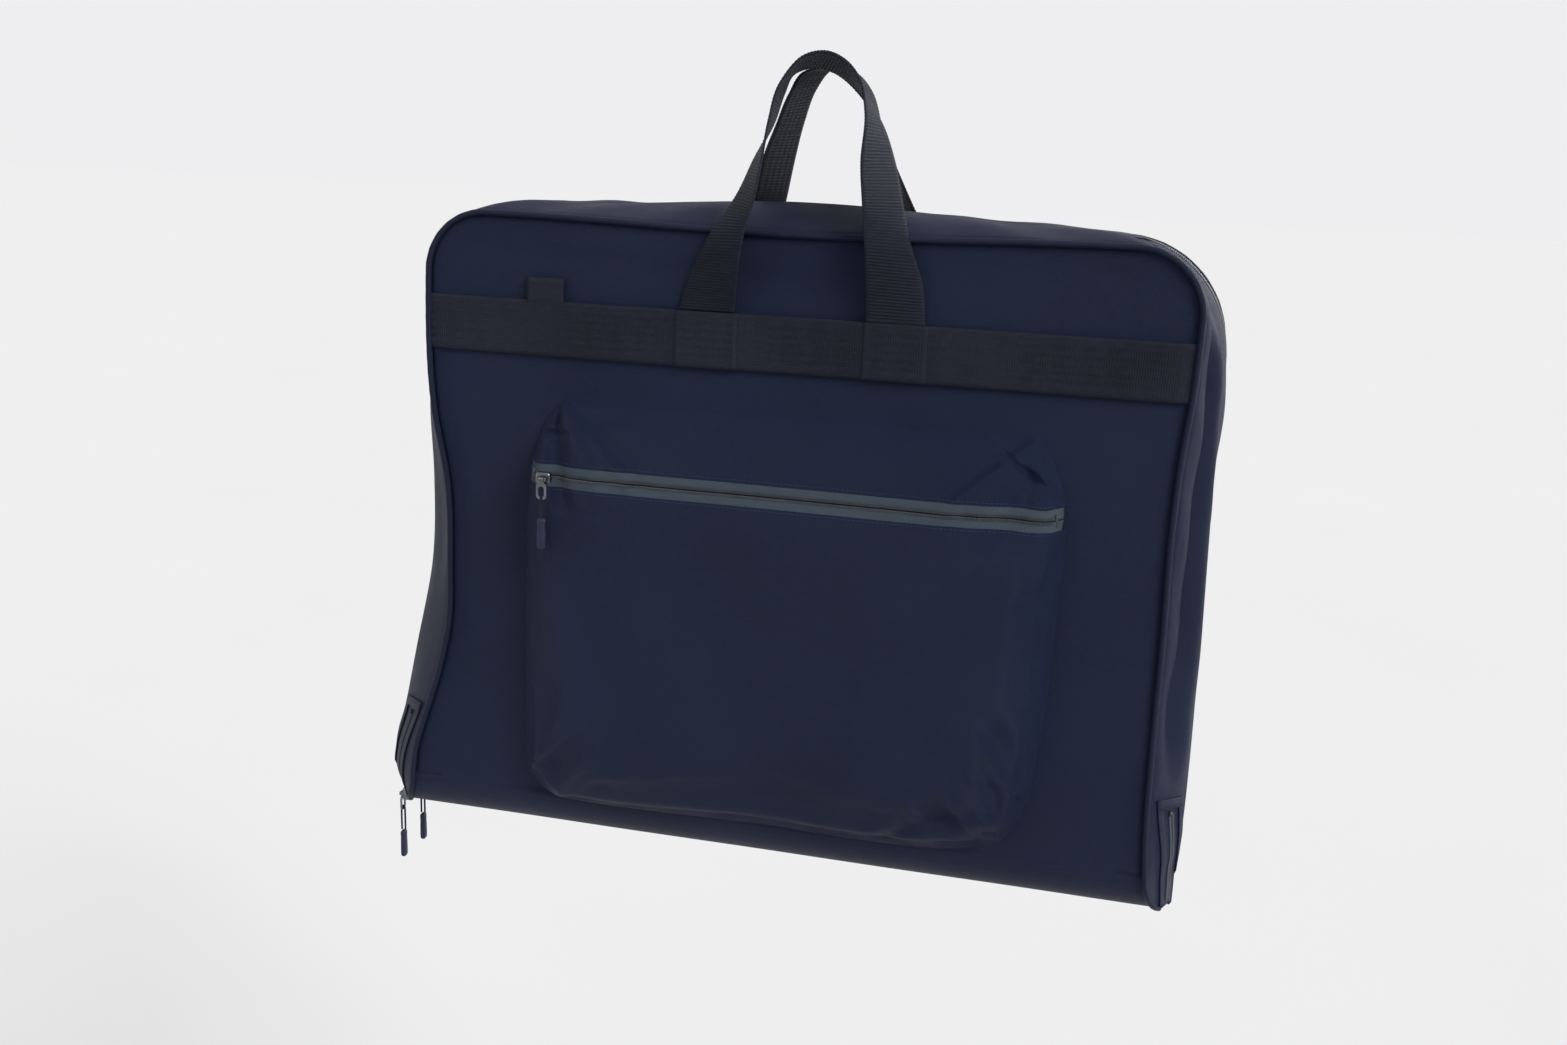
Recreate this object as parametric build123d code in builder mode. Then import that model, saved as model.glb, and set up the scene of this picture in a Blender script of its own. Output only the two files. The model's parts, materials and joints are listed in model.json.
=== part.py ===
"""Bifold garment bag: a long garment case that folds in half at its foot and hangs from its two handles.

Frame: +X to the right of someone facing the pocket, +Y from the pocket side to the zipped lid, +Z up.
The origin is the top of the rail that the handle loops hang over. All lengths are in millimetres.
"""

import os
from math import cos, radians, sin

from build123d import *

# ---- Driving dimensions ----
rail_drop = 595.0  # fold line to the top of the rail
rail_radius = 16.0
half_depth = 38.0  # middle plane to the outer face of either panel
half_gap = 0.6  # middle plane to either half, so that they part freely
fold_clear = 0.5  # fold line to the lowest cloth

cloth = 1.5  # padded shell cloth
lining = 1.2
webbing = 1.4
webbing_width = 40.0

FRONT, REAR = -1, 1  # side of the middle plane
outlines = {  # half width, height and corner radius of each panel, and of the plane where the halves meet
    FRONT: (275.0, 487.0, 46.0),
    REAR: (284.0, 489.0, 50.0),
    "middle": (297.0, 501.0, 58.0),
}
flares = {FRONT: 30.0, REAR: 22.0, "middle": 26.0}  # the left edges run out by this much down to the fold
gusset_split = 218.0  # the top strip of each gusset ends here, before the corners

piping_radius = 2.0
piping_proud = 0.8  # piping centre beyond the panel's outer face
piping_foot = 5.0  # the piping reaches the fold this far from the middle plane
piping_tuck = 1.0  # and ends this far inside the flank
piping_turn = 32.0  # radius of its turn towards the fold

band_low, band_high = 386.0, 426.0
handle_spread = 68.0  # middle of a handle leg from the middle of the bag
handle_lean = 20.5  # middle of a handle's top from the middle plane
handle_shoulder = 495.0  # the legs lean inward above this height, clear of the piping
leg_tilt = 17.5  # degrees between a handle leg and the vertical
leg_turns = 5  # sections in which a leg turns a quarter
arch_angles = (42, 66, 90)  # degrees round the rail of the strap's sections over it
box_inset = 3.0  # a handle's sewn end is this much shorter than the band is high
band_inset = 3.0  # the band ends this far inside the panel's straight edge

tab_place = -186.0  # the small webbing tab above the band
side_tab_width, side_tab_height = 26.0, 16.0

lid_low = 42.0  # the lid starts at this height above the fold
slit = 0.3  # half of the gap between the lid and what it opens from
crease_height = 34.0  # the inner linings end here, and the clothes turn the fold below them

zip_lines = {  # (depth, height) of two points on each side's main zip line
    FRONT: ((5.0, 2.0), (23.0, 112.0)),
    REAR: ((18.5, 8.0), (28.0, 443.0)),
}
zip_start, zip_start_rear = 5.0, 7.0  # heights of the zips' ends at the fold
zip_garage = 82.0  # the front stubs end here, under the gusset's cloth
zip_gap = 0.4  # half of the gap between the two sides of a zip
tape_width, tape_thick = 7.5, 0.6
coil_width, coil_thick = 2.6, 1.6
stop_length = 3.0  # end stops of a zip

pocket_half_width = 200.0
pocket_low, pocket_high = 36.0, 357.0
pocket_depth = 24.0
pocket_corner = 30.0
pocket_taper = 7.0  # degrees by which the pocket's walls lean in
pocket_round = 7.0  # radius between its walls and its face
pocket_zip = 300.0  # height of the pocket's zip line
pocket_zip_end = 193.0  # half length of the pocket's zip
stop_inset = 2.0  # its end stops are this far inside its ends
coil_inset = 4.0  # and its coils end here

slider_length, slider_width, slider_thick = 11.0, 8.4, 4.6
slider_corner, slider_chamfer = 2.0, 0.4
ear_place, ear_width, ear_length = 3.2, 1.2, 2.8  # the two ears that hold the pin
ear_root, ear_proud = 0.4, 1.2  # sunk in the body, and beyond the pin
pin_half_length = 3.8
slider_lift = 0.4  # slider above the coil
main_slider_lift = 2.3  # the main sliders face sideways, so the slope of the flank needs more room
pin_height = 2.0  # pull's pin above the slider's body
pin_radius, eye_hole, eye_radius, eye_width = 0.7, 1.0, 1.7, 4.4
puller_end, puller_width, puller_thick = 15.5, 8.0, 1.1  # its end is that far below the pin
puller_frame, puller_round = 12.9, 3.2  # length and corner radius of its open frame
neck_length, neck_start = 2.4, 0.4  # between the eye and the frame
slot_place, slot_length, slot_width = 9.5, 8.0, 4.4  # the frame's opening, below the pin
cord_radius = 0.8
cord_bend = 1.6  # radius of the loop through the puller
cord_legs = {"pocket": 14.5, "front": 20.0, "rear": 20.0}  # each cord's straight length below its loop
cord_top = 14.2  # the loop's centre below the pin
tab_length, tab_width, tab_thick = 25.0, 7.0, 4.6
tab_corner, tab_round = 3.0, 1.4
slider_heights = {FRONT: 2.0, REAR: 8.0}  # main sliders parked at the fold, one outside the other

hanger_tab_width, hanger_tab_length = 25.0, 42.0
hanger_pin_height, hanger_pin_depth = 451.0, 5.4
hanger_eye, hanger_hole = 3.2, 1.9  # radii of the tab's rolled end
ring_width, ring_height, ring_corner, ring_wire = 36.0, 22.0, 6.0, 2.0
ring_drop = 10.0  # centre of the ring below the tab's rolled end
band_depth = 6.0  # elastic bands off the middle plane
elastic_heights = {"upper": 315.0, "lower": 145.0}
elastic_width, elastic_thick = 30.0, 1.0
net_width, net_height, net_thick = 460.0, 230.0, 0.8  # mesh pocket inside the lid
net_centre = 205.0
net_gap = 0.5  # mesh pocket to the panel's cloth
binding_height, binding_thick, binding_gap = 12.0, 1.6, 0.2  # binding over its upper edge

span = 330.0  # half length of every cutting solid, wider than the bag
tall = 560.0  # height of every cutting solid above the fold


def up(height):
    """Z of a height above the fold line."""
    return height - rail_drop


def zip_depth(side, height):
    """Distance of a side's main zip line from the middle plane at a height."""
    low, high = zip_lines[side]
    return low[0] + (high[0] - low[0]) * (height - low[1]) / (high[1] - low[1])


def flank(side, depth):
    """Half width of the gusset at a distance from the middle plane."""
    return outlines["middle"][0] + (outlines[side][0] - outlines["middle"][0]) * depth / half_depth


def left_flank(side, depth, height):
    """Half width of the flared left side at a distance from the middle plane and a height."""
    flare = flares["middle"] + (flares[side] - flares["middle"]) * depth / half_depth
    return flank(side, depth) + flare * (1 - height / outlines[side][1])


def finish(part, name):
    part.label = name
    export_step(part, f"parts/{name}.step")


# ---- Cutting and outline solids ----
def perimeter(side, grow):
    """Flared solid inside one half's gusset, grown outward all round."""
    with BuildPart() as solid:
        for depth, outline in ((half_depth, side), (0, "middle")):
            width, height, corner = outlines[outline]
            foot = width + flares[outline]
            with BuildSketch(Plane.XZ.offset(-side * depth)):
                with BuildLine():
                    Polyline(
                        (-foot - grow, up(0)),
                        (width + grow, up(0)),
                        (width + grow, up(height + grow)),
                        (-width - grow, up(height + grow)),
                        close=True,
                    )
                make_face()
                fillet(vertices().group_by(Axis.Y)[-1], corner + grow)
        loft()
    return solid.part


def profile(side, inset):
    """One half's side view, drawn across the bag: a flat wall that rounds inward to the fold."""
    outer = half_depth - inset
    centre = up(fold_clear + half_depth - half_gap)
    radius = outer - half_gap
    with BuildPart() as solid:
        with BuildSketch(Plane.YZ):
            with BuildLine():
                Line((side * half_gap, centre - radius), (side * half_gap, up(tall)))
                Line((side * half_gap, up(tall)), (side * outer, up(tall)))
                Line((side * outer, up(tall)), (side * outer, centre))
                CenterArc((side * half_gap, centre), radius, 90 - 90 * side, -90 * side)
            make_face()
        extrude(amount=span, both=True)
    return solid.part


def beside_zip(side, near, far, low, high):
    """Prism across the bag between two distances outward of a side's zip line, from one height to another."""
    corners = [(near, low), (near, high), (far, high), (far, low)]
    with BuildPart() as solid:
        with BuildSketch(Plane.YZ):
            with BuildLine():
                Polyline(*[(side * (zip_depth(side, h) + d), up(h)) for d, h in corners], close=True)
            make_face()
        extrude(amount=span, both=True)
    return solid.part


def between(part, low, high):
    """The stretch of a part between two heights."""
    with BuildPart() as solid:
        add(part)
        with Locations((0, 0, up((low + high) / 2))):
            Box(2 * span, 2 * span, high - low, mode=Mode.INTERSECT)
    return solid.part


def strip_on_gusset(side, near, far, low, high, start, thick):
    """Flat strip lying on the gusset beside the zip line, at a height off the cloth."""
    with BuildPart() as strip:
        add(perimeter(side, start + thick))
        add(perimeter(side, start), mode=Mode.SUBTRACT)
        add(beside_zip(side, near, far, low, high), mode=Mode.INTERSECT)
        add(profile(side, 0), mode=Mode.INTERSECT)
    return strip.part


# ---- Shell of one half ----
def make_panel(side):
    with BuildPart() as panel:
        add(perimeter(side, 0))
        add(profile(side, 0), mode=Mode.INTERSECT)
        add(profile(side, cloth), mode=Mode.SUBTRACT)
    return panel.part


def make_lining(side):
    with BuildPart() as sheet:
        add(perimeter(side, -cloth))
        with Locations((0, side * (half_gap + lining / 2), up(crease_height))):
            Box(2 * span, lining, tall, align=(Align.CENTER, Align.CENTER, Align.MIN), mode=Mode.INTERSECT)
    return sheet.part


def make_gusset(side):
    with BuildPart() as wall:
        add(perimeter(side, 0))
        add(perimeter(side, -cloth), mode=Mode.SUBTRACT)
        add(profile(side, cloth), mode=Mode.INTERSECT)
    return wall.part


def split_gusset(wall, owner):
    """The left, top and right strips of a gusset, sewn end to end."""
    for place, start, end in (
        ("left", -span, -gusset_split),
        ("top", -gusset_split, gusset_split),
        ("right", gusset_split, span),
    ):
        with BuildPart() as strip:
            add(wall)
            with Locations(((start + end) / 2, 0, up(tall / 2))):
                Box(end - start, 2 * span, tall + 20, mode=Mode.INTERSECT)
        finish(strip.part, f"{owner}_gusset_{place}")


def make_piping(side):
    """Corded edge of a panel, from the fold up one flank, across the top and down the other."""
    width, height, corner = outlines[side]
    face = side * (half_depth + piping_proud)
    left_foot = piping_tuck - left_flank(side, piping_foot, 0)
    right_foot = flank(side, piping_foot) - piping_tuck
    fold = up(fold_clear - piping_proud)
    with BuildPart() as tube:
        with BuildLine() as edge:
            FilletPolyline(
                (left_foot, side * piping_foot, fold),
                (-width - flares[side], face, fold),
                (-width, face, up(height)),
                (width, face, up(height)),
                (width, face, fold),
                (right_foot, side * piping_foot, fold),
                radius=[piping_turn, corner, corner, piping_turn],
            )
        with BuildSketch(Plane(origin=edge.line @ 0, z_dir=edge.line % 0)):
            Circle(piping_radius)
        sweep()
    with BuildPart() as inside:
        add(perimeter(side, 0))
        add(profile(side, 0), mode=Mode.INTERSECT)
    with BuildPart() as piping:
        add(tube.part)
        add(inside.part, mode=Mode.SUBTRACT)
    return between(piping.part, fold_clear, tall)


# ---- Webbing band, the handle ends sewn under it, and the handle ----
def make_handle_ends(side):
    depth = side * (half_depth + webbing / 2)
    centre = up((band_low + band_high) / 2 + 1)
    with BuildPart() as ends:
        with Locations((-handle_spread, depth, centre), (handle_spread, depth, centre)):
            Box(webbing_width, webbing, band_high - band_low - box_inset)
    return ends.part


def make_band(side, ends):
    with BuildPart() as band:
        with Locations((0, side * (half_depth + webbing), up((band_low + band_high) / 2))):
            Box(2 * (outlines[side][0] - band_inset), 2 * webbing, band_high - band_low)
        add(ends, mode=Mode.SUBTRACT)
    return band.part


def make_handle(side):
    """Strap that rises clear of the piping, turns a quarter on each leg and crosses the rail flat."""
    axis_height = rail_drop - rail_radius
    bend = rail_radius + 0.5 + webbing / 2
    foot = Vector(handle_spread, half_depth + slit + webbing / 2, band_high + slit)
    top = Vector(bend * cos(radians(leg_tilt)), handle_lean, axis_height + bend * sin(radians(leg_tilt)))
    shoulder_share = (handle_shoulder - foot.Z) / (top.Z - foot.Z)
    shoulder = foot + (top - foot) * shoulder_share
    shoulder.Y = half_depth + piping_proud + piping_radius + slit + webbing
    leg = [(*foot, 0, 0), (*shoulder, leg_tilt, 0)]  # (x, depth, height, angle round the rail, quarter turn)
    for step in range(1, leg_turns + 1):
        point = shoulder + (top - shoulder) * (step / leg_turns)
        leg.append((*point, leg_tilt, 90 * step / leg_turns))
    for angle in arch_angles:
        rise = bend * sin(radians(angle))
        leg.append((bend * cos(radians(angle)), handle_lean, axis_height + rise, angle, 90))
    with BuildPart() as strap:
        for flip, stations in ((-1, leg), (1, leg[-2::-1])):
            for x, depth, height, angle, turn in stations:
                along = Vector(sin(radians(angle)), 0, -flip * cos(radians(angle)))
                across = Vector(cos(radians(turn)), -flip * side * sin(radians(turn)), 0)
                across = across - along * across.dot(along)
                place = Plane(origin=(flip * x, side * depth, up(height)), x_dir=across, z_dir=along)
                with BuildSketch(place):
                    Rectangle(webbing_width, webbing)
        loft(ruled=True)
    return strap.part


# ---- Front pocket ----
def pocket_block(inset):
    """The pocket's outer shape, or its hollow when inset by the cloth."""
    with BuildPart() as block:
        with BuildSketch(Plane.XZ.offset(half_depth)):
            with Locations((0, up((pocket_low + pocket_high) / 2))):
                height = pocket_high - pocket_low - 2 * inset
                RectangleRounded(2 * (pocket_half_width - inset), height, pocket_corner - inset)
        extrude(amount=pocket_depth - inset, taper=pocket_taper)
        fillet(block.faces().sort_by(Axis.Y)[0].edges(), pocket_round)
    return block.part


def make_pocket():
    with BuildPart() as shell:
        add(pocket_block(0))
        add(pocket_block(cloth), mode=Mode.SUBTRACT)
    edge = tape_width + zip_gap
    finish(between(shell.part, 0, pocket_zip - edge), "pocket_lower")
    finish(between(shell.part, pocket_zip + edge, tall), "pocket_upper")
    finish(between(shell.part, pocket_zip - edge, pocket_zip - zip_gap), "pocket_tape_lower")
    finish(between(shell.part, pocket_zip + zip_gap, pocket_zip + edge), "pocket_tape_upper")
    face = -half_depth - pocket_depth - coil_thick / 2
    reach = zip_gap + coil_width / 2
    with BuildPart() as coils:
        with Locations(*[(0, face, up(pocket_zip + offset)) for offset in (-reach, reach)]):
            Box(2 * (pocket_zip_end - coil_inset), coil_thick, coil_width)
    finish(coils.part, "pocket_zip_coils")
    with BuildPart() as stops:
        stop_place = pocket_zip_end - stop_inset
        with Locations(*[(x, face, up(pocket_zip)) for x in (-stop_place, stop_place)]):
            Box(stop_length, coil_thick, 2 * coil_width + stop_length)
    finish(stops.part, "pocket_zip_stops")


# ---- Sliders and pulls, drawn on a plane at the pull's pin that faces outward with its Y upward ----
def pull_place(side, height):
    """Plane at the pin of a main slider on the left flank, where the zip line has this height."""
    depth = zip_depth(side, height)
    lift = tape_thick + coil_thick + main_slider_lift + slider_thick + pin_height
    return Plane(
        origin=(-left_flank(side, depth, height) - lift, side * depth, up(height)),
        x_dir=(0, -1, 0),
        z_dir=(-1, 0, 0),
    )


def make_slider(place, along, across):
    """Slider body with two ears and the pin that the puller swings on."""
    with BuildPart() as slider:
        with BuildSketch(place.offset(-pin_height)):
            RectangleRounded(along, across, slider_corner)
        extrude(amount=-slider_thick)
        chamfer(slider.edges().group_by(SortBy.LENGTH)[-1], slider_chamfer)
        with BuildSketch(place.offset(-pin_height - ear_root)):
            with Locations((-ear_place, 0), (ear_place, 0)):
                Rectangle(ear_width, ear_length)
        extrude(amount=pin_height + ear_root + ear_proud)
        with BuildSketch(Plane(origin=place.origin, x_dir=place.y_dir, z_dir=place.x_dir)):
            Circle(pin_radius)
        extrude(amount=pin_half_length, both=True)
    return slider.part


def make_pull(place, name):
    """Metal puller, the cord looped through it and the moulded tab on the cord's ends."""
    with BuildPart() as puller:
        with BuildSketch(Plane(origin=place.origin, x_dir=place.y_dir, z_dir=place.x_dir)):
            Circle(eye_radius)
        extrude(amount=eye_width / 2, both=True)
        with BuildSketch(place):
            with Locations((0, -neck_length / 2 - neck_start)):
                Rectangle(eye_width, neck_length)
            with Locations((0, puller_frame / 2 - puller_end)):
                RectangleRounded(puller_width, puller_frame, puller_round)
            with Locations((0, -slot_place)):
                RectangleRounded(slot_width, slot_length, slot_width / 2 - 0.1, mode=Mode.SUBTRACT)
        extrude(amount=puller_thick / 2, both=True)
        with BuildSketch(Plane(origin=place.origin, x_dir=place.y_dir, z_dir=place.x_dir)):
            Circle(eye_hole)
        extrude(amount=eye_width, both=True, mode=Mode.SUBTRACT)
    finish(puller.part, f"{name}_puller")

    cord_leg = cord_legs[name]
    loop_plane = Plane(origin=place.origin, x_dir=place.z_dir, z_dir=-place.x_dir)
    with BuildPart() as cord:
        with BuildLine(loop_plane) as loop:
            Line((-cord_bend, -cord_top - cord_leg), (-cord_bend, -cord_top))
            ThreePointArc((-cord_bend, -cord_top), (0, -cord_top + cord_bend), (cord_bend, -cord_top))
            Line((cord_bend, -cord_top), (cord_bend, -cord_top - cord_leg))
        with BuildSketch(Plane(origin=loop.line @ 0, z_dir=loop.line % 0)):
            Circle(cord_radius)
        sweep()
    finish(cord.part, f"{name}_pull_cord")

    with BuildPart() as tab:
        with BuildSketch(place.offset(-tab_thick / 2)):
            with Locations((0, -cord_top - cord_leg - tab_length / 2)):
                RectangleRounded(tab_width, tab_length, tab_corner)
        extrude(amount=tab_thick)
        fillet(tab.edges().group_by(SortBy.LENGTH)[-1], tab_round)
    finish(tab.part, f"{name}_pull_tab")


os.makedirs("parts", exist_ok=True)

finish(make_panel(FRONT), "front_panel")
rear_outer = make_panel(REAR)
finish(between(rear_outer, lid_low + slit, tall), "rear_panel")
finish(between(rear_outer, 0, lid_low - slit), "fold_panel")

finish(make_lining(FRONT), "front_lining")
finish(make_lining(REAR), "rear_lining")

split_gusset(make_gusset(FRONT), "front")
rear_gusset = make_gusset(REAR)
with BuildPart() as tray_gusset:
    add(rear_gusset)
    add(beside_zip(REAR, -zip_gap, span, lid_low - slit, tall), mode=Mode.SUBTRACT)
split_gusset(tray_gusset.part, "rear")
with BuildPart() as lid_gusset:
    add(rear_gusset)
    add(beside_zip(REAR, zip_gap, span, lid_low + slit, tall), mode=Mode.INTERSECT)
split_gusset(lid_gusset.part, "lid")

finish(make_piping(FRONT), "front_piping")
rear_tube = make_piping(REAR)
finish(between(rear_tube, fold_clear, lid_low - 2), "fold_piping")
finish(between(rear_tube, lid_low + 2, tall), "rear_piping")

for side, half in ((FRONT, "front"), (REAR, "rear")):
    handle_ends = make_handle_ends(side)
    finish(handle_ends, f"{half}_handle_ends")
    finish(make_band(side, handle_ends), f"{half}_band")
    finish(make_handle(side), f"{half}_handle")
with BuildPart() as loop_tab:
    with Locations((tab_place, -half_depth - webbing / 2, up(band_high))):
        Box(side_tab_width, webbing, side_tab_height, align=(Align.CENTER, Align.CENTER, Align.MIN))
    fillet(loop_tab.edges().filter_by(Axis.X).group_by(Axis.Z)[-1], webbing / 2 - 0.05)
finish(loop_tab.part, "side_tab")

make_pocket()

# ---- Main zip: short stubs on the front gusset, then right round the rear one ----
tape_far = zip_gap + tape_width
coil_far = zip_gap + coil_width
with BuildPart() as stub_tapes:
    add(strip_on_gusset(FRONT, -tape_far, -zip_gap, zip_start, zip_garage, 0, tape_thick))
    add(strip_on_gusset(FRONT, zip_gap, tape_far, zip_start, zip_garage, 0, tape_thick))
finish(stub_tapes.part, "front_zip_tapes")
with BuildPart() as stub_coils:
    add(strip_on_gusset(FRONT, -coil_far, -zip_gap, zip_start, zip_garage, tape_thick, coil_thick))
    add(strip_on_gusset(FRONT, zip_gap, coil_far, zip_start, zip_garage, tape_thick, coil_thick))
finish(stub_coils.part, "front_zip_coils")
stops_low, stops_high = zip_garage + slit, zip_garage + stop_length
finish(strip_on_gusset(FRONT, -coil_far, coil_far, stops_low, stops_high, 0, coil_thick), "zip_end_stops")
tray_tape = strip_on_gusset(REAR, -tape_far, -zip_gap, zip_start_rear, tall, 0, tape_thick)
tray_coil = strip_on_gusset(REAR, -coil_far, -zip_gap, zip_start_rear, tall, tape_thick, coil_thick)
finish(tray_tape, "tray_zip_tape")
finish(tray_coil, "tray_zip_coil")
lid_tape = strip_on_gusset(REAR, zip_gap, tape_far, zip_start_rear, tall, 0, tape_thick)
lid_coil = strip_on_gusset(REAR, zip_gap, coil_far, zip_start_rear, tall, tape_thick, coil_thick)
finish(between(lid_tape, lid_low + slit, tall), "lid_zip_tape")
finish(between(lid_coil, lid_low + slit, tall), "lid_zip_coil")
finish(between(lid_tape, 0, lid_low - slit), "fold_zip_tape")
finish(between(lid_coil, 0, lid_low - slit), "fold_zip_coil")

# ---- Sliders and pulls ----
face_lift = coil_thick + slider_lift + slider_thick + pin_height
pocket_place = Plane(
    origin=(-pocket_zip_end + 14, -half_depth - pocket_depth - face_lift, up(pocket_zip)),
    x_dir=(1, 0, 0),
    z_dir=(0, -1, 0),
)
finish(make_slider(pocket_place, slider_length, slider_width), "pocket_slider")
make_pull(pocket_place, "pocket")
for side, name in ((FRONT, "front"), (REAR, "rear")):
    place = pull_place(side, slider_heights[side])
    finish(make_slider(place, slider_width, slider_length), f"{name}_slider")
    make_pull(place, name)

# ---- Inside the tray ----
with BuildPart() as hanger_tab:
    with Locations((0, half_gap + lining + webbing / 2, up(hanger_pin_height))):
        Box(hanger_tab_width, webbing, hanger_tab_length, align=(Align.CENTER, Align.CENTER, Align.MIN))
    with BuildSketch(Plane.YZ.offset(-hanger_tab_width / 2)):
        with Locations((hanger_pin_depth, up(hanger_pin_height))):
            Circle(hanger_eye)
    extrude(amount=hanger_tab_width)
    with BuildSketch(Plane.YZ.offset(-hanger_tab_width / 2)):
        with Locations((hanger_pin_depth, up(hanger_pin_height))):
            Circle(hanger_hole)
    extrude(amount=hanger_tab_width, mode=Mode.SUBTRACT)
finish(hanger_tab.part, "hanger_tab")
with BuildPart() as hanger_ring:
    with BuildSketch(Plane.XZ.offset(-hanger_pin_depth)):
        with Locations((0, up(hanger_pin_height - ring_drop))):
            RectangleRounded(ring_width, ring_height, ring_corner)
            inner_width, inner_height = ring_width - 2 * ring_wire, ring_height - 2 * ring_wire
            RectangleRounded(inner_width, inner_height, ring_corner - ring_wire, mode=Mode.SUBTRACT)
    extrude(amount=ring_wire / 2, both=True)
finish(hanger_ring.part, "hanger_ring")
elastic_half = flank(REAR, band_depth + elastic_thick) - cloth - slit
for name, height in elastic_heights.items():
    with BuildPart() as elastic:
        with Locations((0, band_depth, up(height))):
            Box(2 * elastic_half, elastic_thick, elastic_width)
    finish(elastic.part, f"{name}_elastic_band")
net_depth = half_depth - cloth - net_gap - net_thick / 2
with BuildPart() as mesh_pocket:
    with Locations((0, net_depth, up(net_centre))):
        Box(net_width, net_thick, net_height)
finish(mesh_pocket.part, "mesh_pocket")
with BuildPart() as mesh_binding:
    with Locations((0, net_depth, up(net_centre + net_height / 2 + binding_height / 2 + binding_gap))):
        Box(net_width, binding_thick, binding_height)
finish(mesh_binding.part, "mesh_binding")
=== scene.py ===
"""Looks of the bifold garment bag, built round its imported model.

Shapes are worked out in millimetres: x to the right, depth outward from the middle plane between the two
halves, and h upward from the fold line. They become metres when a mesh is made.
"""
import json
from math import cos, pi, radians, sin

import bmesh
import bpy
import numpy as np
from mathutils import Matrix, Vector
from mathutils.bvhtree import BVHTree


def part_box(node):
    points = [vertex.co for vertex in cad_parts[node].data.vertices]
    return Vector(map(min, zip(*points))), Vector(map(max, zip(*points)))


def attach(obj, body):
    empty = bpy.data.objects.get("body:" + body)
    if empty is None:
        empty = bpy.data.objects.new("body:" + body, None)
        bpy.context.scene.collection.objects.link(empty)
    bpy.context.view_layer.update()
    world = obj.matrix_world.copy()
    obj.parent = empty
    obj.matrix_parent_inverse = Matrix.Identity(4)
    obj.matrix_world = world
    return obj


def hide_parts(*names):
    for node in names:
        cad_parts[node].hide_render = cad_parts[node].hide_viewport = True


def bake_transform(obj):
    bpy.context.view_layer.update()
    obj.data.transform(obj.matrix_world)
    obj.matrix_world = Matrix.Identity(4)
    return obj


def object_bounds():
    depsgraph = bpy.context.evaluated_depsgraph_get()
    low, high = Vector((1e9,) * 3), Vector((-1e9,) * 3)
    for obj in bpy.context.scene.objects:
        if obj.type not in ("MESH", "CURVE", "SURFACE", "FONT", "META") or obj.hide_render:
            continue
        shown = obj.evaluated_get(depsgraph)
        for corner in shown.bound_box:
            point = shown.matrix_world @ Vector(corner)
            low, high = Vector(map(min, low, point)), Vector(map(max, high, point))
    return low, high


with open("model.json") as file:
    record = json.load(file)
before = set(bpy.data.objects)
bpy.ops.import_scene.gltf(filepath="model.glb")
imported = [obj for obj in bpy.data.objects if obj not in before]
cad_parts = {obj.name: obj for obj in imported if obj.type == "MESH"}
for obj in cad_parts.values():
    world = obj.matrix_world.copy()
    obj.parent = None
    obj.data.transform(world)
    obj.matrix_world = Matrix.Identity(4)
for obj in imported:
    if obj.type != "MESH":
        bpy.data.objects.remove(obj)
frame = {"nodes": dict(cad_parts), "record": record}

cad_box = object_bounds()


def mm_box(node):
    """Lowest and highest corners of a CAD node, in millimetres."""
    return [np.array(corner) * 1000 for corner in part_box(node)]


# ---- Sizes, from the frame where it has them ----
fold_clear = 0.5
fold = mm_box("front_panel")[0][2] - fold_clear  # z of the fold line
half_depth = -mm_box("front_panel")[0][1]
half_gap = 0.6
fold_radius = half_depth - half_gap
band_low, band_high = (z - fold for z in (mm_box("front_band")[0][2], mm_box("front_band")[1][2]))
lid_low = mm_box("rear_panel")[0][2] - fold - 0.3
cloth = 1.5
zip_lines = {  # (depth, height) of two points on each side's main zip line
    -1: ((5.0, 2.0), (23.0, 112.0)),
    1: ((18.5, 8.0), (28.0, 443.0)),
}
zip_garage = 82.0  # upper end of the short zips on the front half
tape_near, tape_far = 0.4, 7.9  # edges of a main zip's tape, from its line
tape_thick = 0.6
coil_reach = 1.55  # middle of a main zip's coil, from its line
gusset_over = 0.4  # the side walls' cloth runs this far past the panels' depth
zip_slot = 4.6  # edges of the rear side wall's cloth, from its zip line
coil_pitch = 1.7
pocket_zip = mm_box("pocket_slider")[0][2] / 2 + mm_box("pocket_slider")[1][2] / 2 - fold
gusset_split = mm_box("front_gusset_top")[1][0]

FRONT, REAR = -1, 1


def smooth(t):
    """Ease from 0 to 1."""
    t = np.clip(t, 0, 1)
    return t * t * (3 - 2 * t)


def through(*points):
    """Smooth curve through (place, value) points, level beyond the ends."""
    places, values = (np.array(column, float) for column in zip(*points))
    slopes = np.gradient(values, places)

    def curve(place):
        place = np.clip(np.asarray(place, float), places[0], places[-1])
        step = np.clip(np.searchsorted(places, place, side="right") - 1, 0, len(places) - 2)
        width = places[step + 1] - places[step]
        t = (place - places[step]) / width
        return (
            values[step] * (1 + 2 * t) * (1 - t) ** 2
            + slopes[step] * width * t * (1 - t) ** 2
            + values[step + 1] * t * t * (3 - 2 * t)
            + slopes[step + 1] * width * t * t * (t - 1)
        )

    return curve


def waves(x, y, scale, seed):
    """Slow, repeatable unevenness between -1 and 1 over a surface."""
    a = np.sin(x / scale + seed) * np.cos(y / scale * 0.83 + seed * 1.7)
    b = np.sin(x / scale * 1.9 - y / scale * 1.3 + seed * 2.3)
    return 0.6 * a + 0.4 * b


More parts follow.
